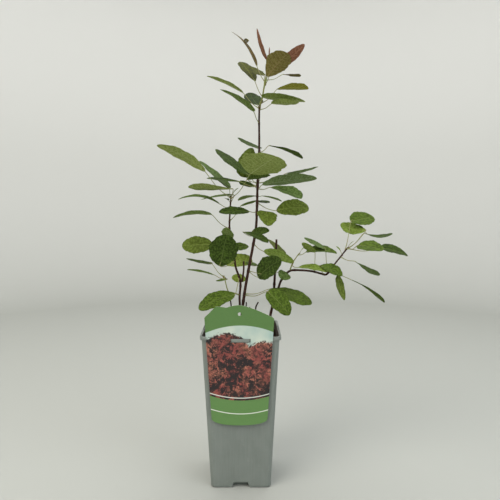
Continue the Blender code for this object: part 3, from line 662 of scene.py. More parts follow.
leafFinishes = {}
for tint, (base, mottle, vein, lower, lowerMottle, lowerVein) in leafTints.items():
    leafFinishes[tint] = (
        leafSkin("leaf skin above, " + tint, base, mottle, 0.62, 0.08),
        leafSkin("leaf skin below, " + tint, lower, lowerMottle, 0.75, 0.05),
        leafSkin("vein above, " + tint, vein, vein, 0.62, 0.08),
        leafSkin("vein below, " + tint, lowerVein, lowerVein, 0.7, 0.05),
    )


def shootSkin(name, base, flush, roughness=0.5):
    # Young green shoot or stalk: smooth skin, flushed darker in streaks a few millimetres long
    material, shader, add, place = newMaterial(name, Roughness=roughness, Coat_Weight=0.1, Coat_Roughness=0.3)
    fillInputs(shader, {"Base Color": twoTones(add, place, 7, (0.4, 0.65), base, flush, Detail=2.0)})
    return material


def barkSkin(name, base, streak, lenticel):
    # Young smooth bark, dull: lengthwise streaks 0.8 mm wide in a darker tone, and pale breathing
    # spots about 0.5 mm wide, 3 mm apart
    material, shader, add, place = newMaterial(name, Roughness=0.8, Specular_IOR_Level=0.18)
    drawn = add("Mapping", {"Vector": place, "Scale": (1, 1, 0.12)})
    fibres = add("TexNoise", {"Vector": drawn, "Scale": perMetre(0.8), "Detail": 3.0})
    wood = add("Mix", (add("MapRange", (fibres, 0.35, 0.65)), base, streak), data_type="RGBA")
    cells = add("TexVoronoi", {"Vector": place, "Scale": perMetre(3)})
    spots = add("MapRange", (cells, 0.16, 0.24, 0.8, 0.0))
    height = add("Math", (fibres, spots), operation="ADD")
    fillInputs(shader, {
        "Base Color": add("Mix", (spots, wood, lenticel), data_type="RGBA"),
        "Normal": add("Bump", {"Height": height, "Strength": 0.6, "Distance": 0.15 * mm}),
    })
    return material


barkFinish = barkSkin("young bark, purple brown", "#2c1a16", "#422b22", "#6a5446")
snagFinish = barkSkin("weathered bark, cut back", "#2a1e1b", "#41332d", "#63564d")
shootFinish = shootSkin("green shoot", "#70792c", "#7f7a3c")
cutFinish = shootSkin("cut wood, dried", "#8d7757", "#5f4b3a", 0.85)
stalkFinish = shootSkin("leaf stalk, pale green", "#7b8642", "#857a4a")
budFinish = shootSkin("bud, red brown", "#6b3f2c", "#4c2c22", 0.6)
print("plant finishes made")


# Stems: path, where the piece starts and ends along it, (distance, radius) pairs, flare at the foot,
# finish, whether its top was cut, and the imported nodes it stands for
stemLook = {
    "sides": 14,
    "ringEvery": 1.5,
    "flareFall": 7.0,
    "flareLobes": (3, 0.22),
    "lobeTurn": (0, 6),
    "sinkIn": 4.0,
    "seatShare": 0.6,
    "collar": (1.25, 1.15, 1.06),
    "relief": 0.07,
    "reliefRadius": 2,
    "reliefSize": 1.5,
    "reliefLength": 7,
    "fewestRings": 8,
    "nodeSwell": 0.34,
    "nodeRadius": 1.8,
    "nodeLength": 1.7,
    "firstBareNode": 30,
    "bareEnd": (10, 8),
    "bareNodeEvery": 24.0,
    "cutEnd": ((0.86, 0.25),),
    "grownEnd": ((0.8, 0.5), (0.4, 0.85)),
}
stems = {
    "leaderStem": ("leader", 0, 335, ((0, 2.3), (95, 2.0), (148, 1.9), (214, 1.7), (335, 1.3)), 2.4,
                   barkFinish, False, ("main_stem",)),
    "leaderTip": ("leader", 334.6, 378, ((334, 1.25), (378, 0.8)), 0, shootFinish, False, ()),
    "leftStem": ("left", 0, 163.5, ((0, 1.7), (40, 1.6), (124, 1.3), (163, 1.0)), 0,
                 barkFinish, False, ("left_stem",)),
    "leftSpurStem": ("leftSpur", 0, 29, ((0, 1.4), (29, 1.2)), 0, barkFinish, True, ("left_cut_spur",)),
    "rightStem": ("right", 0, 144, ((0, 2.1), (144, 1.5)), 2.4, barkFinish, True, ("right_stem",)),
    "armStem": ("arm", 0, 148, ((0, 1.7), (46, 1.6), (92, 1.4), (148, 0.85)), 0,
                barkFinish, False, ("arm_rise", "arm_reach")),
    "armTwigStem": ("armTwig", 0, 27, ((0, 0.8), (27, 0.6)), 0, shootFinish, False, ()),
    "greenShootStem": ("greenShoot", 0, 42, ((0, 0.8), (42, 0.6)), 0, shootFinish, False, ()),
}
for snag, length in (("snagLeft", 53.8), ("snagBack", 49.7), ("snagFront", 46.7), ("snagRight", 51.4)):
    stems[snag + "Stem"] = (snag, 0, length, ((0, 1.4), (round(length), 0.95)), 0.9,
                            snagFinish, True, ("cut_" + packedName(snag),))


def leafNodesOn(path):
    # Distances along a stem at which its leaves spring
    masses = [mass for mass in leafMasses.values() if mass[0] == path]
    return [start + row[0] for _, start, _, _, _, rows in masses for row in rows]


def stemShell(path, start, end, profile, flare, cut, seed):
    # A tapering tube round the stem's track: radius = profile + flare · e^(-distance / fall) in three lobes
    # + a swelling at each leaf's foot + relief. A side branch starts near its parent's own axis.
    rng = np.random.default_rng(seed)
    every, fall = stemLook["ringEvery"], stemLook["flareFall"]
    distances = np.linspace(start, end, max(stemLook["fewestRings"], round((end - start) / every)))
    points = pointsAlong(seatedTrack(path), distances)
    radii = np.interp(distances, *np.array(profile, float).T)
    nodes = leafNodesOn(path)
    endRoom, nodeRoom = stemLook["bareEnd"]
    lowest = min([end - endRoom, *nodes]) - nodeRoom
    nodes += list(np.arange(stemLook["firstBareNode"], lowest, stemLook["bareNodeEvery"]))
    nodes = np.array([node for node in nodes if start < node < end])
    if len(nodes):
        away = (distances[:, None] - nodes) / stemLook["nodeLength"]
        radii *= 1 + stemLook["nodeSwell"] / stemLook["nodeRadius"] * np.exp(-away ** 2).max(1)
    if start == 0:
        if path in stemSeats:
            parent = nearestSpot(seatedTrack(stemSeats[path][0]), points[0])
            foot = points[0] + (parent - points[0]) * stemLook["seatShare"]
            radii[:len(stemLook["collar"])] *= stemLook["collar"]
        else:
            foot = points[0] - (points[1] - points[0]) * stemLook["sinkIn"] / every
            radii += flare * np.exp(-distances / fall)
        points = np.vstack([foot, points])
        radii = np.concatenate([radii[:1], radii])
    sides = stemLook["sides"]
    run = np.arange(len(points)) * every
    cos, sin = circleOf(sides).T * stemLook["reliefRadius"]
    field = np.stack(np.broadcast_arrays(cos, sin, run[:, None] / stemLook["reliefLength"]), -1)
    relief = waves(field, stemLook["reliefSize"], stemLook["relief"], rng)
    number, height = stemLook["flareLobes"]
    lobes = height * np.cos(number * anglesRound(sides) + rng.uniform(*stemLook["lobeTurn"]))
    rings = tubeRings(points, radii, sides, relief + lobes * flare * np.exp(-run / fall)[:, None])
    middle = rings[-1].mean(0)
    way = unit(points[-1] - points[-2]) * (1 if cut else radii[-1])
    ends = stemLook["cutEnd" if cut else "grownEnd"]
    close = [middle + (rings[-1] - middle) * share + way * rise for share, rise in ends]
    points, faces, kinds = closedShell(np.concatenate([rings, close]))
    if cut:
        kinds[-sides:] = 1
    return points, faces, kinds


for number, (name, values) in enumerate(stems.items()):
    path, start, end, profile, flare, finish, cut, nodes = values
    shell = stemShell(path, start, end, profile, flare, cut, number)
    addPiece(name, [shell], [finish, cutFinish] if cut else [finish], nodes)
print("stems grown:", len(stems))


# Leaves, stalks and buds, mass by mass

def bladeFoot(track, start, row):
    # A stalk's root on its stem, and the blade's base at the stalk's end
    up, (heading, rise, length), *_ = row
    root = pointsAlong(track, start + up)
    return root, root + headingVector(heading, rise) * length


def growMass(name, number):
    # Every blade, stalk and bud of a mass, by the source's rule and its order of draws
    path, start, end, young, youngTint, rows = leafMasses[name]
    node = packedName(name)
    rng = random.Random(f"{growSeed} {node}")
    detail = np.random.default_rng(leafLook["seed"] + number)
    track = seatedTrack(path)
    materials, blades, stalks, buds = [], [], [], []
    for row in (*rows, *youngRows(young, end - start, youngTint, rng)):
        up, (stalkHeading, _, stalkLength), (heading, rise, length, width, roll), shape, tint = row
        root, base = bladeFoot(track, start, row)
        axes = bladeAxes(heading, rise, roll)
        points, faces, kinds = bladeShell(base, axes, length, width, shape, detail)
        finishes = leafFinishes[tint]
        materials += [finish for finish in finishes if finish not in materials]
        lookup = np.array([materials.index(finish) for finish in finishes])
        blades.append((points, faces, lookup[kinds]))
        stalks.append(stalkShell(root, base, axes, length, shape[1], stalkLength))
        if length > leafRule["youngLength"][1]:
            below, above = pointsAlong(track, start + up + np.array(bud["stemBetween"]))
            way = unit(above - below)
            out = headingVector(stalkHeading, 0)
            foot = root + out * bud["outward"] + way * bud["upward"]
            buds.append(budShell(foot, unit(way * bud["steepness"] + out)))
    addPiece(name, blades, materials, (node,), leafLook["sharpFrom"])
    addPiece(name + "Stalks", stalks, [stalkFinish])
    addPiece(name + "Buds", buds, [budFinish])


# A dry scroll where one thin young leaf has rolled: which leaf, where along it, and its size
leafCurl = {
    "mass": "tipLeaves",
    "row": 11,
    "share": 0.57,
    "turns": 1.4,
    "radius": (1.3, 3.0),
    "halfWidth": 2.4,
    "halfThickness": 0.3,
    "clearance": 0.2,
    "rings": 48,
    "sides": 12,
}


def growCurl():
    # A band wound into a scroll that lies across the blade: out turns about the side as the radius grows,
    # and round each ring the point is at out · (radius + thickness · sin) + side · width · cos
    path, start, *_, rows = leafMasses[leafCurl["mass"]]
    row = rows[leafCurl["row"]]
    _, _, (heading, rise, length, _, roll), (_, arch, _, _), tint = row
    axes = along, side, above = bladeAxes(heading, rise, roll)
    base = bladeFoot(seatedTrack(path), start, row)[1]
    seat = leafCurl["radius"][1] + leafCurl["halfThickness"] + leafCurl["clearance"]
    spot = ribAt(base, axes, length, arch, leafCurl["share"]) + above * seat
    turn = 2 * np.pi * leafCurl["turns"] * np.linspace(0, 1, leafCurl["rings"])[:, None]
    out = along * np.cos(turn) + above * np.sin(turn)
    cos, sin = circleOf(leafCurl["sides"]).T
    reach = np.linspace(*leafCurl["radius"], leafCurl["rings"])[:, None] + leafCurl["halfThickness"] * sin
    rings = spot + out[:, None] * reach[..., None] + side * (leafCurl["halfWidth"] * cos)[:, None]
    addPiece("tipLeafCurl", [closedShell(rings)], [leafFinishes[tint][1]])


for number, name in enumerate(leafMasses):
    growMass(name, number)
growCurl()
print("leaves grown:", sum(len(mass[5]) + mass[3] for mass in leafMasses.values()))


# Pot

pot = {
    "height": 218.5,
    "footHalf": 42.3,
    "neckHalf": 53.2,
    "neckHeight": 213.5,
    "wall": 1.3,
    "footCorner": 7.0,
    "cornerSum": 79.0,
    "rimHalf": 55.6,
    "rimCorner": 9.0,
    "slotHalfLength": 14.0,
    "plateHalves": (52.7, 53.5, 54.7, 55.2),
    "floorHalves": (5, 15, 25),
    "toeHalves": (33, 35, 37, 38.6),
    "toeTurn": (39.6, 0.25),
    "toeLevels": (2.3, 5),
    "pocketLevels": (3.5, 6),
    "pocketHalves": (35, 38),
    "roofStep": 0.2,
    "bandLevels": (218, 216, 213.5),
    "slotLevel": 214.5,
    "middleCorner": 2.5,
    "cornerMost": 0.5,
    "levels": (12, 18, 26, 36, 48, 62, 76, 90, 104, 118, 132, 146, 160, 174, 188, 200, 210, 216, 218),
    "notchHalf": (12.0, 8.5),
    "notchHeight": 8.0,
    "notchDepth": 9.0,
    "notchEase": 0.8,
    "cheek": 0.5,
    "bow": 0.35,
    "sideColumns": 7,
    "middleColumns": 9,
    "cornerColumns": 6,
    "openMost": (0.8, 0.97),
    "softEdge": 0.4,
    "softFrom": 40,
    "drainRadius": 4.0,
    "drainOffset": 22.0,
    "drainSides": 24,
    "drainLevels": (-3, 5),
    "lug": ((-12.5, -57.3, 211.6), (12.5, -52.6, 216.0)),
    "lugEdge": 0.5,
    "paintedShadeFrom": 195.0,
    "sharpFrom": 35,
}
potTaper = (pot["neckHalf"] - pot["footHalf"]) / pot["neckHeight"]


def plasticSkin():
    # Recycled polypropylene, injection moulded: satin grey with faint upright flow streaks about 2 mm wide,
    # cloudy patches 25 mm across, a moulded grain of 0.5 mm and a little pale dust; the inner face near the
    # compost and above is darkened in patches to a compost brown, which is painted shade of the pot's inside
    material, shader, add, place = newMaterial("recycled polypropylene, moulded", Specular_IOR_Level=0.5)
    drawn = add("Mapping", {"Vector": place, "Scale": (1, 1, 0.06)})
    streaks = add("TexNoise", {"Vector": drawn, "Scale": perMetre(2), "Detail": 2.0})
    clouds = add("TexNoise", {"Vector": place, "Scale": perMetre(25), "Detail": 4.0})
    dust = add("TexNoise", {"Vector": place, "Scale": perMetre(6), "Detail": 6.0, "Roughness": 0.7})
    grain = add("TexNoise", {"Vector": place, "Scale": perMetre(0.5), "Detail": 2.0})
    mixed = add("Math", (streaks, clouds), operation="ADD")
    body = add("Mix", (add("MapRange", (mixed, 0.7, 1.3)), "#747b76", "#7c837e"), data_type="RGBA")
    dusty = add("MapRange", (dust, 0.58, 0.8, 0.0, 0.28))
    colour = add("Mix", (dusty, body, "#a3a69d"), data_type="RGBA")

    # The painted shade lies on the inner face: what lies within the tapering square and its cut corners, near
    # the compost and above
    x, y, z = add("SeparateXYZ", (place,)).outputs
    sideways, forwards = (add("Math", (along,), operation="ABSOLUTE") for along in (x, y))
    widest = add("Math", (sideways, forwards), operation="MAXIMUM")
    both = add("Math", (sideways, forwards), operation="ADD")
    straight = add("Math", (z, -potTaper, widest), operation="MULTIPLY_ADD")
    slant = add("Math", (z, -2 * potTaper, both), operation="MULTIPLY_ADD")
    paintedShadeInside = add("MapRange", (dust, 0.34, 0.5))
    for value, limit, test in ((straight, pot["footHalf"] - pot["wall"] / 2, "LESS_THAN"),
                               (slant, pot["cornerSum"], "LESS_THAN"), (z, pot["paintedShadeFrom"], "GREATER_THAN")):
        within = add("Math", (value, limit * mm), operation=test)
        paintedShadeInside = add("Math", (paintedShadeInside, within), operation="MULTIPLY")
    height = add("Math", (grain, streaks), operation="ADD")
    fillInputs(shader, {
        # painted shade: the inner face's patches go compost brown
        "Base Color": add("Mix", (paintedShadeInside, colour, "#3b3029"), data_type="RGBA"),
        "Roughness": add("MapRange", (dust, 0.3, 0.8, 0.42, 0.62)),
        "Normal": add("Bump", {"Height": height, "Strength": 0.25, "Distance": 0.08 * mm}),
    })
    return material


def wallInside(level):
    # Half width of the wall's inner face, which runs straight from foot to neck
    return pot["footHalf"] + potTaper * level - pot["wall"]


def potSkin():
    # The pot's inner and upper face as rows of a rounded square: half width, height and corner radius change
    # from the middle of the floor, up the wall, over the rim and down its band. In the drain pockets the rows
    # go up a back wall and out along a roof instead, and a narrow strip on each side makes their cheeks.
    wall, top, ease = pot["wall"], pot["height"], pot["notchEase"]
    roof = pot["notchHeight"] + wall
    back = pot["footHalf"] - pot["notchDepth"] - wall
    floor = [(half, wall) for half in (*pot["floorHalves"], back)]
    turned, rise = pot["toeTurn"]
    toe = [*((half, wall) for half in pot["toeHalves"]), (turned, wall + rise),
           *((wallInside(level), level) for level in pot["toeLevels"])]
    pocket = [*((back, level) for level in (*pot["pocketLevels"], roof - ease)), (back + ease, roof),
              *((half, roof) for half in pot["pocketHalves"]), (wallInside(roof) - ease, roof)]
    upright = [(wallInside(level), level) for level in (roof + pot["roofStep"], *pot["levels"])]
    plate = [(half, top) for half in pot["plateHalves"]]
    band = [(pot["rimHalf"], level) for level in pot["bandLevels"]]
    plain, cut = (np.array(floor + low + upright + plate + band) for low in (toe, pocket))

    rimRow = len(floor + toe + upright)
    inside = pot["footCorner"] - wall
    corner = np.interp(np.arange(len(plain)), (0, len(floor) - 1, rimRow, len(plain) - len(band)),
                       (pot["middleCorner"], inside, inside, pot["rimCorner"]))
    corner = np.minimum(corner, plain[:, 0] * pot["cornerMost"])
    straight = plain[:, 0] - corner
    widths = (*(np.array(pot["notchHalf"]) + wall), pot["slotHalfLength"])
    levels = (wall, roof, pot["slotLevel"])
    plainOpening, cutOpening = (np.interp(rows[:, 1], levels, widths) for rows in (plain, cut))
    edge = np.minimum(plainOpening + pot["cheek"], straight * pot["openMost"][0])
    inner = np.minimum(cutOpening, edge * pot["openMost"][1])

    # Columns of one side: out from the opening's edge, across the opening, then round the corner
    sides, middles, corners = pot["sideColumns"], pot["middleColumns"], pot["cornerColumns"]
    side = edge[:, None] + (straight - edge)[:, None] * np.linspace(0, 1, sides)
    along = np.hstack([-side[:, ::-1], inner[:, None] * np.linspace(-1, 1, middles), side])
    isCut = np.repeat((False, True, False), (sides, middles, sides))
    out, level = (np.where(isCut, cut[:, k:k + 1], plain[:, k:k + 1]) for k in (0, 1))
    bowed = pot["bow"] * np.sin(np.pi * np.clip(level / pot["neckHeight"], 0, 1))
    out = out - bowed * (1 - (along / plain[:, :1]) ** 2) * (level > roof)
    turn = np.pi / 2 * np.arange(1, corners + 1) / (corners + 1)
    x = np.hstack([along, straight[:, None] + corner[:, None] * np.sin(turn)])
    y = -np.hstack([out, straight[:, None] + corner[:, None] * np.cos(turn)])
    z = np.hstack([level, np.repeat(plain[:, 1:], corners, 1)])
    turns = ((1, 0), (0, 1), (-1, 0), (0, -1))
    quarters = [np.stack([x * cos - y * sin, x * sin + y * cos, z], -1) for cos, sin in turns]
    return np.concatenate(quarters, 1), rimRow + 1


def makePot():
    # The skin gets its wall and drain holes; the rim's plate stays open at three slots for cards
    rows, slotRow = potSkin()
    count, size = rows.shape[:2]
    slots = {slotRow * size + side * size // 4 + pot["sideColumns"] + column
             for side in (1, 2, 3) for column in range(pot["middleColumns"] - 1)}
    faces = [face[::-1] for k, face in enumerate(shellFaces(count, size)[:-size]) if k not in slots]
    piece = looseObject("potShell", np.vstack([rows.reshape(-1, 3), [0, 0, pot["wall"]]]), faces)
    addModifier(piece, "SOLIDIFY", thickness=pot["wall"] * mm, offset=-1, use_even_offset=True)
    for quarter in range(4):
        turn = math.radians(45 + 90 * quarter)
        centre = pot["drainOffset"] * np.array([math.cos(turn), math.sin(turn)])
        ring = centre + pot["drainRadius"] * circleOf(pot["drainSides"])
        levels = [np.column_stack([ring, np.full(len(ring), level)]) for level in pot["drainLevels"]]
        cutOut(piece, "drain" + str(quarter), levels)
    addModifier(piece, "BEVEL", width=pot["softEdge"] * mm, segments=2, limit_method="ANGLE",
                angle_limit=math.radians(pot["softFrom"]), harden_normals=False)
    applyModifiers(piece)
    places = np.zeros(len(piece.data.vertices) * 3, np.float32)
    piece.data.vertices.foreach_get("co", places)
    places[2::3] = np.maximum(places[2::3], 0)
    piece.data.vertices.foreach_set("co", places)
    plasticFinish = plasticSkin()
    finishFaces(piece, [plasticFinish], pot["sharpFrom"])
    settle(piece, ("pot",))

    tab = looseObject("cardLug", np.zeros((0, 3)), [])
    low, high = np.array(pot["lug"]) * mm
    shape = bmesh.new()
    bmesh.ops.create_cube(shape, size=1.0, matrix=Matrix.LocRotScale((low + high) / 2, None, high - low))
    bmesh.ops.bevel(shape, geom=shape.edges, offset=pot["lugEdge"] * mm, segments=3, profile=0.5,
                    affect="EDGES")
    shape.to_mesh(tab.data)
    shape.free()
    finishFaces(tab, [plasticFinish], pot["sharpFrom"])
    settle(tab)


makePot()
print("pot moulded")


# Compost

compost = {
    "clearance": 0.35,
    "bottom": 11.0,
    "hubHalf": 4,
    "corner": 5.2,
    "sides": 176,
    "rings": 34,
    "shares": (1, 0.03),
    "edgeFrom": 0.96,
    "edgeFall": 2.2,
    "hills": (16.0, 0.9),
    "lumps": (5.0, 0.7),
    "crumbs": 2600,
    "crumbSize": (0.7, 2.6),
    "crumbStretch": (0.7, 1.2),
    "crumbMargin": 1.8,
    "chips": 330,
    "chipLength": (3.5, 12.0),
    "chipTrim": (0.5, 1),
    "chipWidth": (0.25, 0.5),
    "chipThickness": (0.8, 1.8),
    "chipMargin": 5.0,
    "chipLift": 0.5,
    "grainSides": 6,
    "grainRings": ((0.8, -0.45), (0.9, 0.35)),
    "grainTip": 0.4,
    "grainBend": (0.72, 1.25),
    "grainLean": 0.35,
    "seeds": (7, 41),
    "sharpFrom": (180, 60, 30),
}


def compostSkin():
    # Moist bark compost: near black crumbs with browner patches 4 mm across, rough and without shine
    material, shader, add, place = newMaterial("bark compost, moist", Roughness=0.95, Specular_IOR_Level=0.2)
    grain = add("TexNoise", {"Vector": place, "Scale": perMetre(0.7), "Detail": 4.0})
    fillInputs(shader, {
        "Base Color": twoTones(add, place, 4, (0.35, 0.7), "#1f1712", "#46352a", Detail=6.0, Roughness=0.7),
        "Normal": add("Bump", {"Height": grain, "Strength": 0.8, "Distance": 0.5 * mm}),
    })
    return material


def compostLevel(points):
    # Height of the compost's top: its level plus two rolling fields of bumps
    rng = np.random.default_rng(compost["seeds"][1])
    return groundLevel + waves(points, *compost["hills"], rng) + waves(points, *compost["lumps"], rng)


def roundedSquare(corner, count):
    # Points round a square of half width 1 with round corners, by the direction that each lies in
    way = circleOf(count)
    spot = way / np.abs(way).max(-1)[:, None]
    beyond = np.clip(np.abs(spot) - (1 - corner), 0, None)
    depth = np.linalg.norm(beyond, axis=-1)
    ease = np.where(depth > corner, corner / np.maximum(depth, 1e-9), 1)
    return np.sign(spot) * (np.minimum(np.abs(spot), 1 - corner) + beyond * ease[:, None])


def compostShell():
    # One closed body: rings from the middle of its underside, up the wall and in over the crumbly top
    bottom = compost["bottom"]
    top, foot = (wallInside(level) - compost["clearance"] for level in (groundLevel, bottom))
    rim = roundedSquare(compost["corner"] / top, compost["sides"])
    rings = [np.column_stack([rim * half, np.full(len(rim), bottom)])
             for half in (compost["hubHalf"], foot / 2, foot)]
    edge = compost["edgeFrom"]
    for share in np.linspace(*compost["shares"], compost["rings"]):
        spot = rim * top * share
        fall = compost["edgeFall"] * np.clip((share - edge) / (1 - edge), 0, 1) ** 2
        rings.append(np.column_stack([spot, compostLevel(spot) - fall]))
    return closedShell(np.stack(rings))


def scatteredGrains(places, sizes, rng):
    # Lumpy grains: one small shell of two rings, bent out of true, turned and stretched for each place
    count, sides = len(places), compost["grainSides"]
    rings = [np.column_stack([circleOf(sides) * half, np.full(sides, level)])
             for half, level in compost["grainRings"]]
    base, faces, kinds = closedShell(np.stack(rings))
    base[-2:, 2] += (-compost["grainTip"], compost["grainTip"])
    base = base * rng.uniform(*compost["grainBend"], (count, len(base), 1))
    turn = rng.uniform(0, 2 * np.pi, count)[:, None]
    lean = rng.normal(0, compost["grainLean"], (count, 2))
    scaled = base * sizes[:, None] / 2
    x = scaled[..., 0] * np.cos(turn) - scaled[..., 1] * np.sin(turn)
    y = scaled[..., 0] * np.sin(turn) + scaled[..., 1] * np.cos(turn)
    z = scaled[..., 2] + x * lean[:, :1] + y * lean[:, 1:]
    return [(points, faces, kinds) for points in np.stack([x, y, z], -1) + places[:, None]]


def scatterPlaces(count, margin, rng):
    # Random places on the compost's top, as far as the margin from its edge
    half = wallInside(groundLevel) - margin
    spot = rng.uniform(-half, half, (count, 2))
    return np.column_stack([spot, compostLevel(spot)])


def makeCompost():
    # The body, then crumbs and flat chips of bark strewn on it
    rng = np.random.default_rng(compost["seeds"][0])
    finish = compostSkin()
    chipFinish = barkSkin("bark chip, moist", "#4b3527", "#2e2019", "#6a4f3b")
    bodySharp, crumbSharp, chipSharp = compost["sharpFrom"]
    addPiece("compostBody", [compostShell()], [finish], ("compost",), bodySharp)
    count = compost["crumbs"]
    sizes = rng.uniform(*compost["crumbSize"], (count, 1)) * rng.uniform(*compost["crumbStretch"], (count, 3))
    crumbs = scatteredGrains(scatterPlaces(count, compost["crumbMargin"], rng), sizes, rng)
    addPiece("compostCrumbs", crumbs, [finish], (), crumbSharp)
    count = compost["chips"]
    length = rng.uniform(*compost["chipLength"], count) * rng.uniform(*compost["chipTrim"], count)
    width = length * rng.uniform(*compost["chipWidth"], count)
    sizes = np.column_stack([length, width, rng.uniform(*compost["chipThickness"], count)])
    places = scatterPlaces(count, compost["chipMargin"], rng) + (0, 0, compost["chipLift"])
    addPiece("barkChips", scatteredGrains(places, sizes, rng), [chipFinish], (), chipSharp)


makeCompost()
print("compost filled")


# Plant card: x runs across it and h up it from its slot

card = {
    "thickness": 0.6,
    "centre": -1.4,
    "shoulderHalf": 46.8,
    "shoulder": 30,
    "footHalf": 38.4,
    "bellyHalf": 37.8,
    "top": ((-48.2, 31.5), (-46.9, 33.6), (-42.8, 37.0), (-37.3, 42.9), (-33.2, 46.2), (-29.9, 47.1),
            (-24.9, 46.5), (-18.3, 45.7), (-13.2, 47.4), (-3.2, 49.0), (4.1, 48.2), (11.3, 46.1),
            (22.1, 42.2), (33.0, 37.4), (42.8, 32.7), (45.4, 30.4)),
    "foot": -110.5,
    "belly": -119.6,
    "bellyPower": 2.4,
    "slot": (27.4, 5.2),
    "hole": (-1.0, 36.7),
    "holeRadius": 2.4,
    "holeSides": 28,
    "level": 213.8,
    "clearance": 56.35,
    "bow": 0.9,
    "bowLength": 120,
    "columns": 48,
    "rows": 72,
    "topSteps": 8,
    "cutDepths": (4, -4),
    "frontFrom": -0.8,
    "sharpFrom": 40,
}

# The print: mounds are (x, h, radius), and bands are curves height + bend · x²
cardPrint = {
    "mounds": ((-21, -30, 40), (8, -60, 46), (33, -36, 35)),
    "bank": -40,
    "ragged": 26,
    "fuzz": 0.6,
    "crisp": 0.25,
    "topBand": (21.0, -0.0046),
    "footBand": (-84.0, 0.004),
    "lines": (-80.5, -103.0),
    "lineHalf": 0.55,
}


def printedFace():
    # Polypropylene label stock, offset printed and glossed: green bands above and below with two thin white
    # lines, a pale hazy sky between them, and three round mounds of feathery red plumes 5 mm across
    material, shader, add, place = newMaterial("label stock, printed and glossed", Roughness=0.38,
                                               Coat_Weight=0.12, Coat_Roughness=0.2)
    x, _, z = add("SeparateXYZ", (place,)).outputs
    h = add("Math", (z, card["level"] * mm), operation="SUBTRACT")
    squared = add("Math", (x, x), operation="MULTIPLY")
    crisp, fuzz, ragged = (cardPrint[key] * mm for key in ("crisp", "fuzz", "ragged"))

    def above(height, bend):
        # 1 above the curve and 0 below it, with a crisp edge
        curve = add("Math", (squared, bend / mm, height * mm), operation="MULTIPLY_ADD")
        return add("MapRange", (add("Math", (h, curve), operation="SUBTRACT"), -crisp, crisp))

    # The plumes: rosy and brown tones in patches, lit tufts over shaded ones, and dark gaps lower down
    plumes = add("TexNoise", {"Vector": place, "Scale": perMetre(5.5), "Detail": 7.0, "Roughness": 0.78,
                              "Distortion": 0.9})
    clumps = add("TexNoise", {"Vector": place, "Scale": perMetre(17), "Detail": 3.0})
    tints = add("TexNoise", {"Vector": place, "Scale": perMetre(24), "Detail": 4.0, "Roughness": 0.7})
    rosy = add("MapRange", (tints, 0.42, 0.6))
    lit = add("Mix", (rosy, "#954740", "#b87460"), data_type="RGBA")
    shaded = add("Mix", (rosy, "#461f21", "#5a3a28"), data_type="RGBA")
    tufts = add("Mix", (add("MapRange", (plumes, 0.45, 0.59)), shaded, lit), data_type="RGBA")
    clumped = add("Math", (clumps, 0.7, 0.155), operation="MULTIPLY_ADD")
    deepness = add("Math", (h, 1.1, clumped), operation="MULTIPLY_ADD")
    gaps = add("MapRange", (add("Math", (plumes, deepness), operation="ADD"), 0.92, 1.02))
    bush = add("Mix", (gaps, "#1a1014", tufts), data_type="RGBA")
    edge = add("Math", (plumes, ragged, -ragged / 2), operation="MULTIPLY_ADD")

    picture = twoTones(add, place, 38, (0.35, 0.65), "#9fb9b4", "#ccd4c6", Detail=3.0)
    for middle, level, radius in cardPrint["mounds"]:
        away = [add("Math", (value, centre * mm), operation="SUBTRACT")
                for value, centre in ((x, middle), (h, level))]
        squares = [add("Math", (value, value), operation="MULTIPLY") for value in away]
        reach = add("Math", (add("Math", squares, operation="ADD"),), operation="SQRT")
        inside = add("Math", (radius * mm, add("Math", (reach, edge), operation="ADD")), operation="SUBTRACT")
        picture = add("Mix", (add("MapRange", (inside, -fuzz, fuzz)), picture, bush),
                      data_type="RGBA")
    bank = cardPrint["bank"] * mm
    overBank = add("MapRange", (add("Math", (h, edge), operation="ADD"), bank - fuzz, bank + fuzz))
    picture = add("Mix", (overBank, bush, picture), data_type="RGBA")

    speckle = add("TexNoise", {"Vector": place, "Scale": perMetre(1.2), "Detail": 2.0})
    topGreen = add("Mix", (speckle, "#4f733a", "#587c42"), data_type="RGBA")
    footGreen = add("Mix", (speckle, "#588044", "#62894c"), data_type="RGBA")
    picture = add("Mix", (above(*cardPrint["topBand"]), picture, topGreen), data_type="RGBA")
    picture = add("Mix", (above(*cardPrint["footBand"]), footGreen, picture), data_type="RGBA")
    half, bend = cardPrint["lineHalf"], cardPrint["footBand"][1]
    for height in cardPrint["lines"]:
        low, high = (above(height + edge, bend) for edge in (-half, half))
        line = add("Math", (low, high), operation="SUBTRACT")
        picture = add("Mix", (line, picture, "#e6e9e0"), data_type="RGBA")
    fillInputs(shader, {"Base Color": picture})
    return material


def blankFace():
    # The same stock unprinted, for the back and the cut edges: off white and softly glossy
    material, shader, add, place = newMaterial("label stock, unprinted", Roughness=0.45)
    fibres = add("TexNoise", {"Vector": place, "Scale": perMetre(3), "Detail": 3.0})
    fillInputs(shader, {"Base Color": add("Mix", (fibres, "#cfd3c6", "#dcdfd3"), data_type="RGBA")})
    return material


def cardGrid():
    # Places across and up the card: each column runs from the round belly to the shaped top
    u = np.linspace(-1, 1, card["columns"] + 1)
    v = np.linspace(0, 1, card["rows"] + 1)[:, None]
    belly = np.sqrt(np.clip(1 - np.abs(u) ** card["bellyPower"], 0, 1))
    low = card["foot"] + (card["belly"] - card["foot"]) * belly
    topX, topH, _ = smoothTrack(np.pad(np.array(card["top"]), ((0, 0), (0, 1))), card["topSteps"]).T
    high = np.interp(card["centre"] + u * card["shoulderHalf"], topX, topH)
    h = low + (high - low) * v
    half = np.interp(h, (card["belly"], card["foot"], card["shoulder"]),
                     (card["bellyHalf"], card["footHalf"], card["shoulderHalf"]))
    x = card["centre"] + half * u
    bow = ((x / card["shoulderHalf"]) ** 2 - 1) * np.clip(-h / card["bowLength"], 0, 1)
    return x, h, card["bow"] * bow


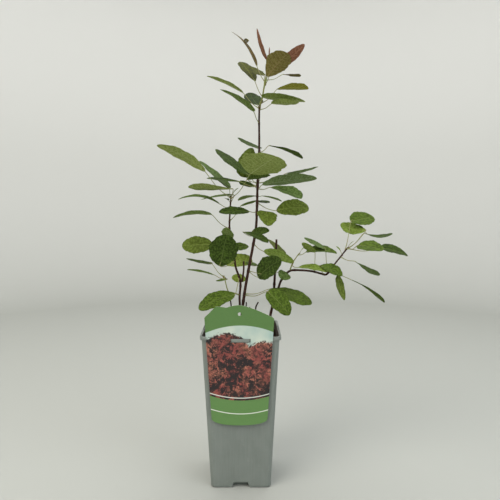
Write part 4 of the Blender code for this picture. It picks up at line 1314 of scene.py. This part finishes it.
def makeCard():
    # The sheet leans as the pot's wall does, is given its thickness, then its slot and hang hole are cut
    x, h, bow = cardGrid()
    lean = math.atan(potTaper)
    y = bow - card["clearance"] - h * math.sin(lean)
    points = np.stack([x, y, card["level"] + h * math.cos(lean)], -1)
    rows, columns = x.shape
    first = np.arange(rows - 1)[:, None] * columns + np.arange(columns - 1)
    faces = np.stack([first, first + 1, first + columns + 1, first + columns], -1).reshape(-1, 4).tolist()
    piece = looseObject("hangingCard", points.reshape(-1, 3), faces)
    addModifier(piece, "SOLIDIFY", thickness=card["thickness"] * mm, offset=0)
    slot = np.array([(-1, -1), (1, -1), (1, 1), (-1, 1)]) * card["slot"] / 2
    hole = card["hole"] + card["holeRadius"] * circleOf(card["holeSides"])
    for name, outline in (("slotTool", slot), ("holeTool", hole)):
        cutOut(piece, name, [np.insert(outline + (0, card["level"]), 1, depth - card["clearance"], 1)
                             for depth in card["cutDepths"]])
    applyModifiers(piece)
    finishFaces(piece, [printedFace(), blankFace()], card["sharpFrom"])
    normals = np.zeros(len(piece.data.polygons) * 3, np.float32)
    piece.data.polygons.foreach_get("normal", normals)
    piece.data.polygons.foreach_set("material_index", (normals[1::3] >= card["frontFrom"]).astype(np.int32))
    settle(piece, ("plant_card",))


makeCard()
print("card printed")


# Studio: a pale bowl of floor and wall, soft light and the camera

studio = {
    "floorRadius": 1500.0,
    "middleRadius": 10,
    "floorRings": 24,
    "bend": 700.0,
    "bendRings": 15,
    "wallHeight": 2600.0,
    "sides": 96,
    "sharpFrom": 60,
    "floorColour": "#b2b4af",
    "wallColour": "#eeeeec",
    "wallLevel": 1500.0,
    "worldColour": "#eef0ee",
    "worldStrength": 0.55,
    "lights": {
        "softKey": ((-1000, -1100, 1700), 1400, 26, "#fffaf2"),
        "softFill": ((1300, -1000, 1100), 1500, 12, "#f4f8ff"),
        "softTop": ((100, 500, 2100), 1600, 18, "#ffffff"),
    },
    "lightTarget": (0, 0, 300),
    "cameraPlace": (12.9, -719.0, 385.0),
    "cameraPitch": -4.2,
    "cameraLens": 36.0,
    "cameraSensor": 36.0,
}


def backdropPaint():
    # Matt emulsion, rolled on, with no shine. The floor's grey is its own colour; the even paling from it up
    # the bend and the wall is painted light
    material, shader, add, place = newMaterial("matt backdrop paint", Roughness=0.9, Specular_IOR_Level=0.1)
    height = add("SeparateXYZ", (place,)).outputs[2]
    share = add("MapRange", {0: height, 2: studio["wallLevel"] * mm})
    paintedLightRise = add("Math", (share, 0.5), operation="POWER")
    colours = (paintedLightRise, studio["floorColour"], studio["wallColour"])
    fillInputs(shader, {"Base Color": add("Mix", colours, data_type="RGBA")})
    return material


def makeStage():
    # A turned bowl: flat floor, a quarter-round bend, then an upright wall on every side
    bend = np.radians(np.linspace(0, 90, studio["bendRings"] + 1)[1:])
    wall = studio["floorRadius"] + studio["bend"]
    radius = [*np.linspace(studio["middleRadius"], studio["floorRadius"], studio["floorRings"]),
              *(studio["floorRadius"] + studio["bend"] * np.sin(bend)), wall]
    height = [*np.zeros(studio["floorRings"]), *(studio["bend"] * (1 - np.cos(bend))), studio["wallHeight"]]
    circle = circleOf(studio["sides"])
    rings = np.stack([np.column_stack([circle * r, np.full(len(circle), h)]) for r, h in zip(radius, height)])
    faces = [face[::-1] for face in shellFaces(*rings.shape[:2])[:-studio["sides"]]]
    bowl = looseObject("studioBowl", np.vstack([rings.reshape(-1, 3), [0, 0, 0]]), faces)
    finishFaces(bowl, [backdropPaint()], studio["sharpFrom"])


def areaLight(name, place, size, power, colour):
    # A round soft lamp turned towards the plant, unseen by the camera
    place = np.array(place) * mm
    way = np.array(studio["lightTarget"]) * mm - place
    lamp = configured(bpy.data.lights.new(name, "AREA"), {
        "shape": "DISK", "size": size * mm, "energy": power, "color": linearColour(colour)[:3]})
    pitch = math.atan2(-way[2], math.hypot(way[0], way[1]))
    holder = configured(bpy.data.objects.new(name, lamp), {
        "location": place, "visible_camera": False,
        "rotation_euler": (math.pi / 2 - pitch, 0, math.atan2(way[1], way[0]) - math.pi / 2)})
    bpy.context.scene.collection.objects.link(holder)


makeStage()
for name, values in studio["lights"].items():
    areaLight(name, *values)
world = bpy.data.worlds.new("studio air")
world.use_nodes = True
fillInputs(world.node_tree.nodes["Background"], (studio["worldColour"], studio["worldStrength"]))
bpy.context.scene.world = world
bpy.context.scene.view_settings.view_transform = "Standard"

camera = bpy.data.objects.new("camera", bpy.data.cameras.new("camera"))
camera.data.lens = studio["cameraLens"]
camera.data.sensor_width = studio["cameraSensor"]
camera.location = [value * mm for value in studio["cameraPlace"]]
camera.rotation_euler = (math.radians(90 + studio["cameraPitch"]), 0, 0)
bpy.context.scene.collection.objects.link(camera)
bpy.context.scene.camera = camera
print("studio lit")
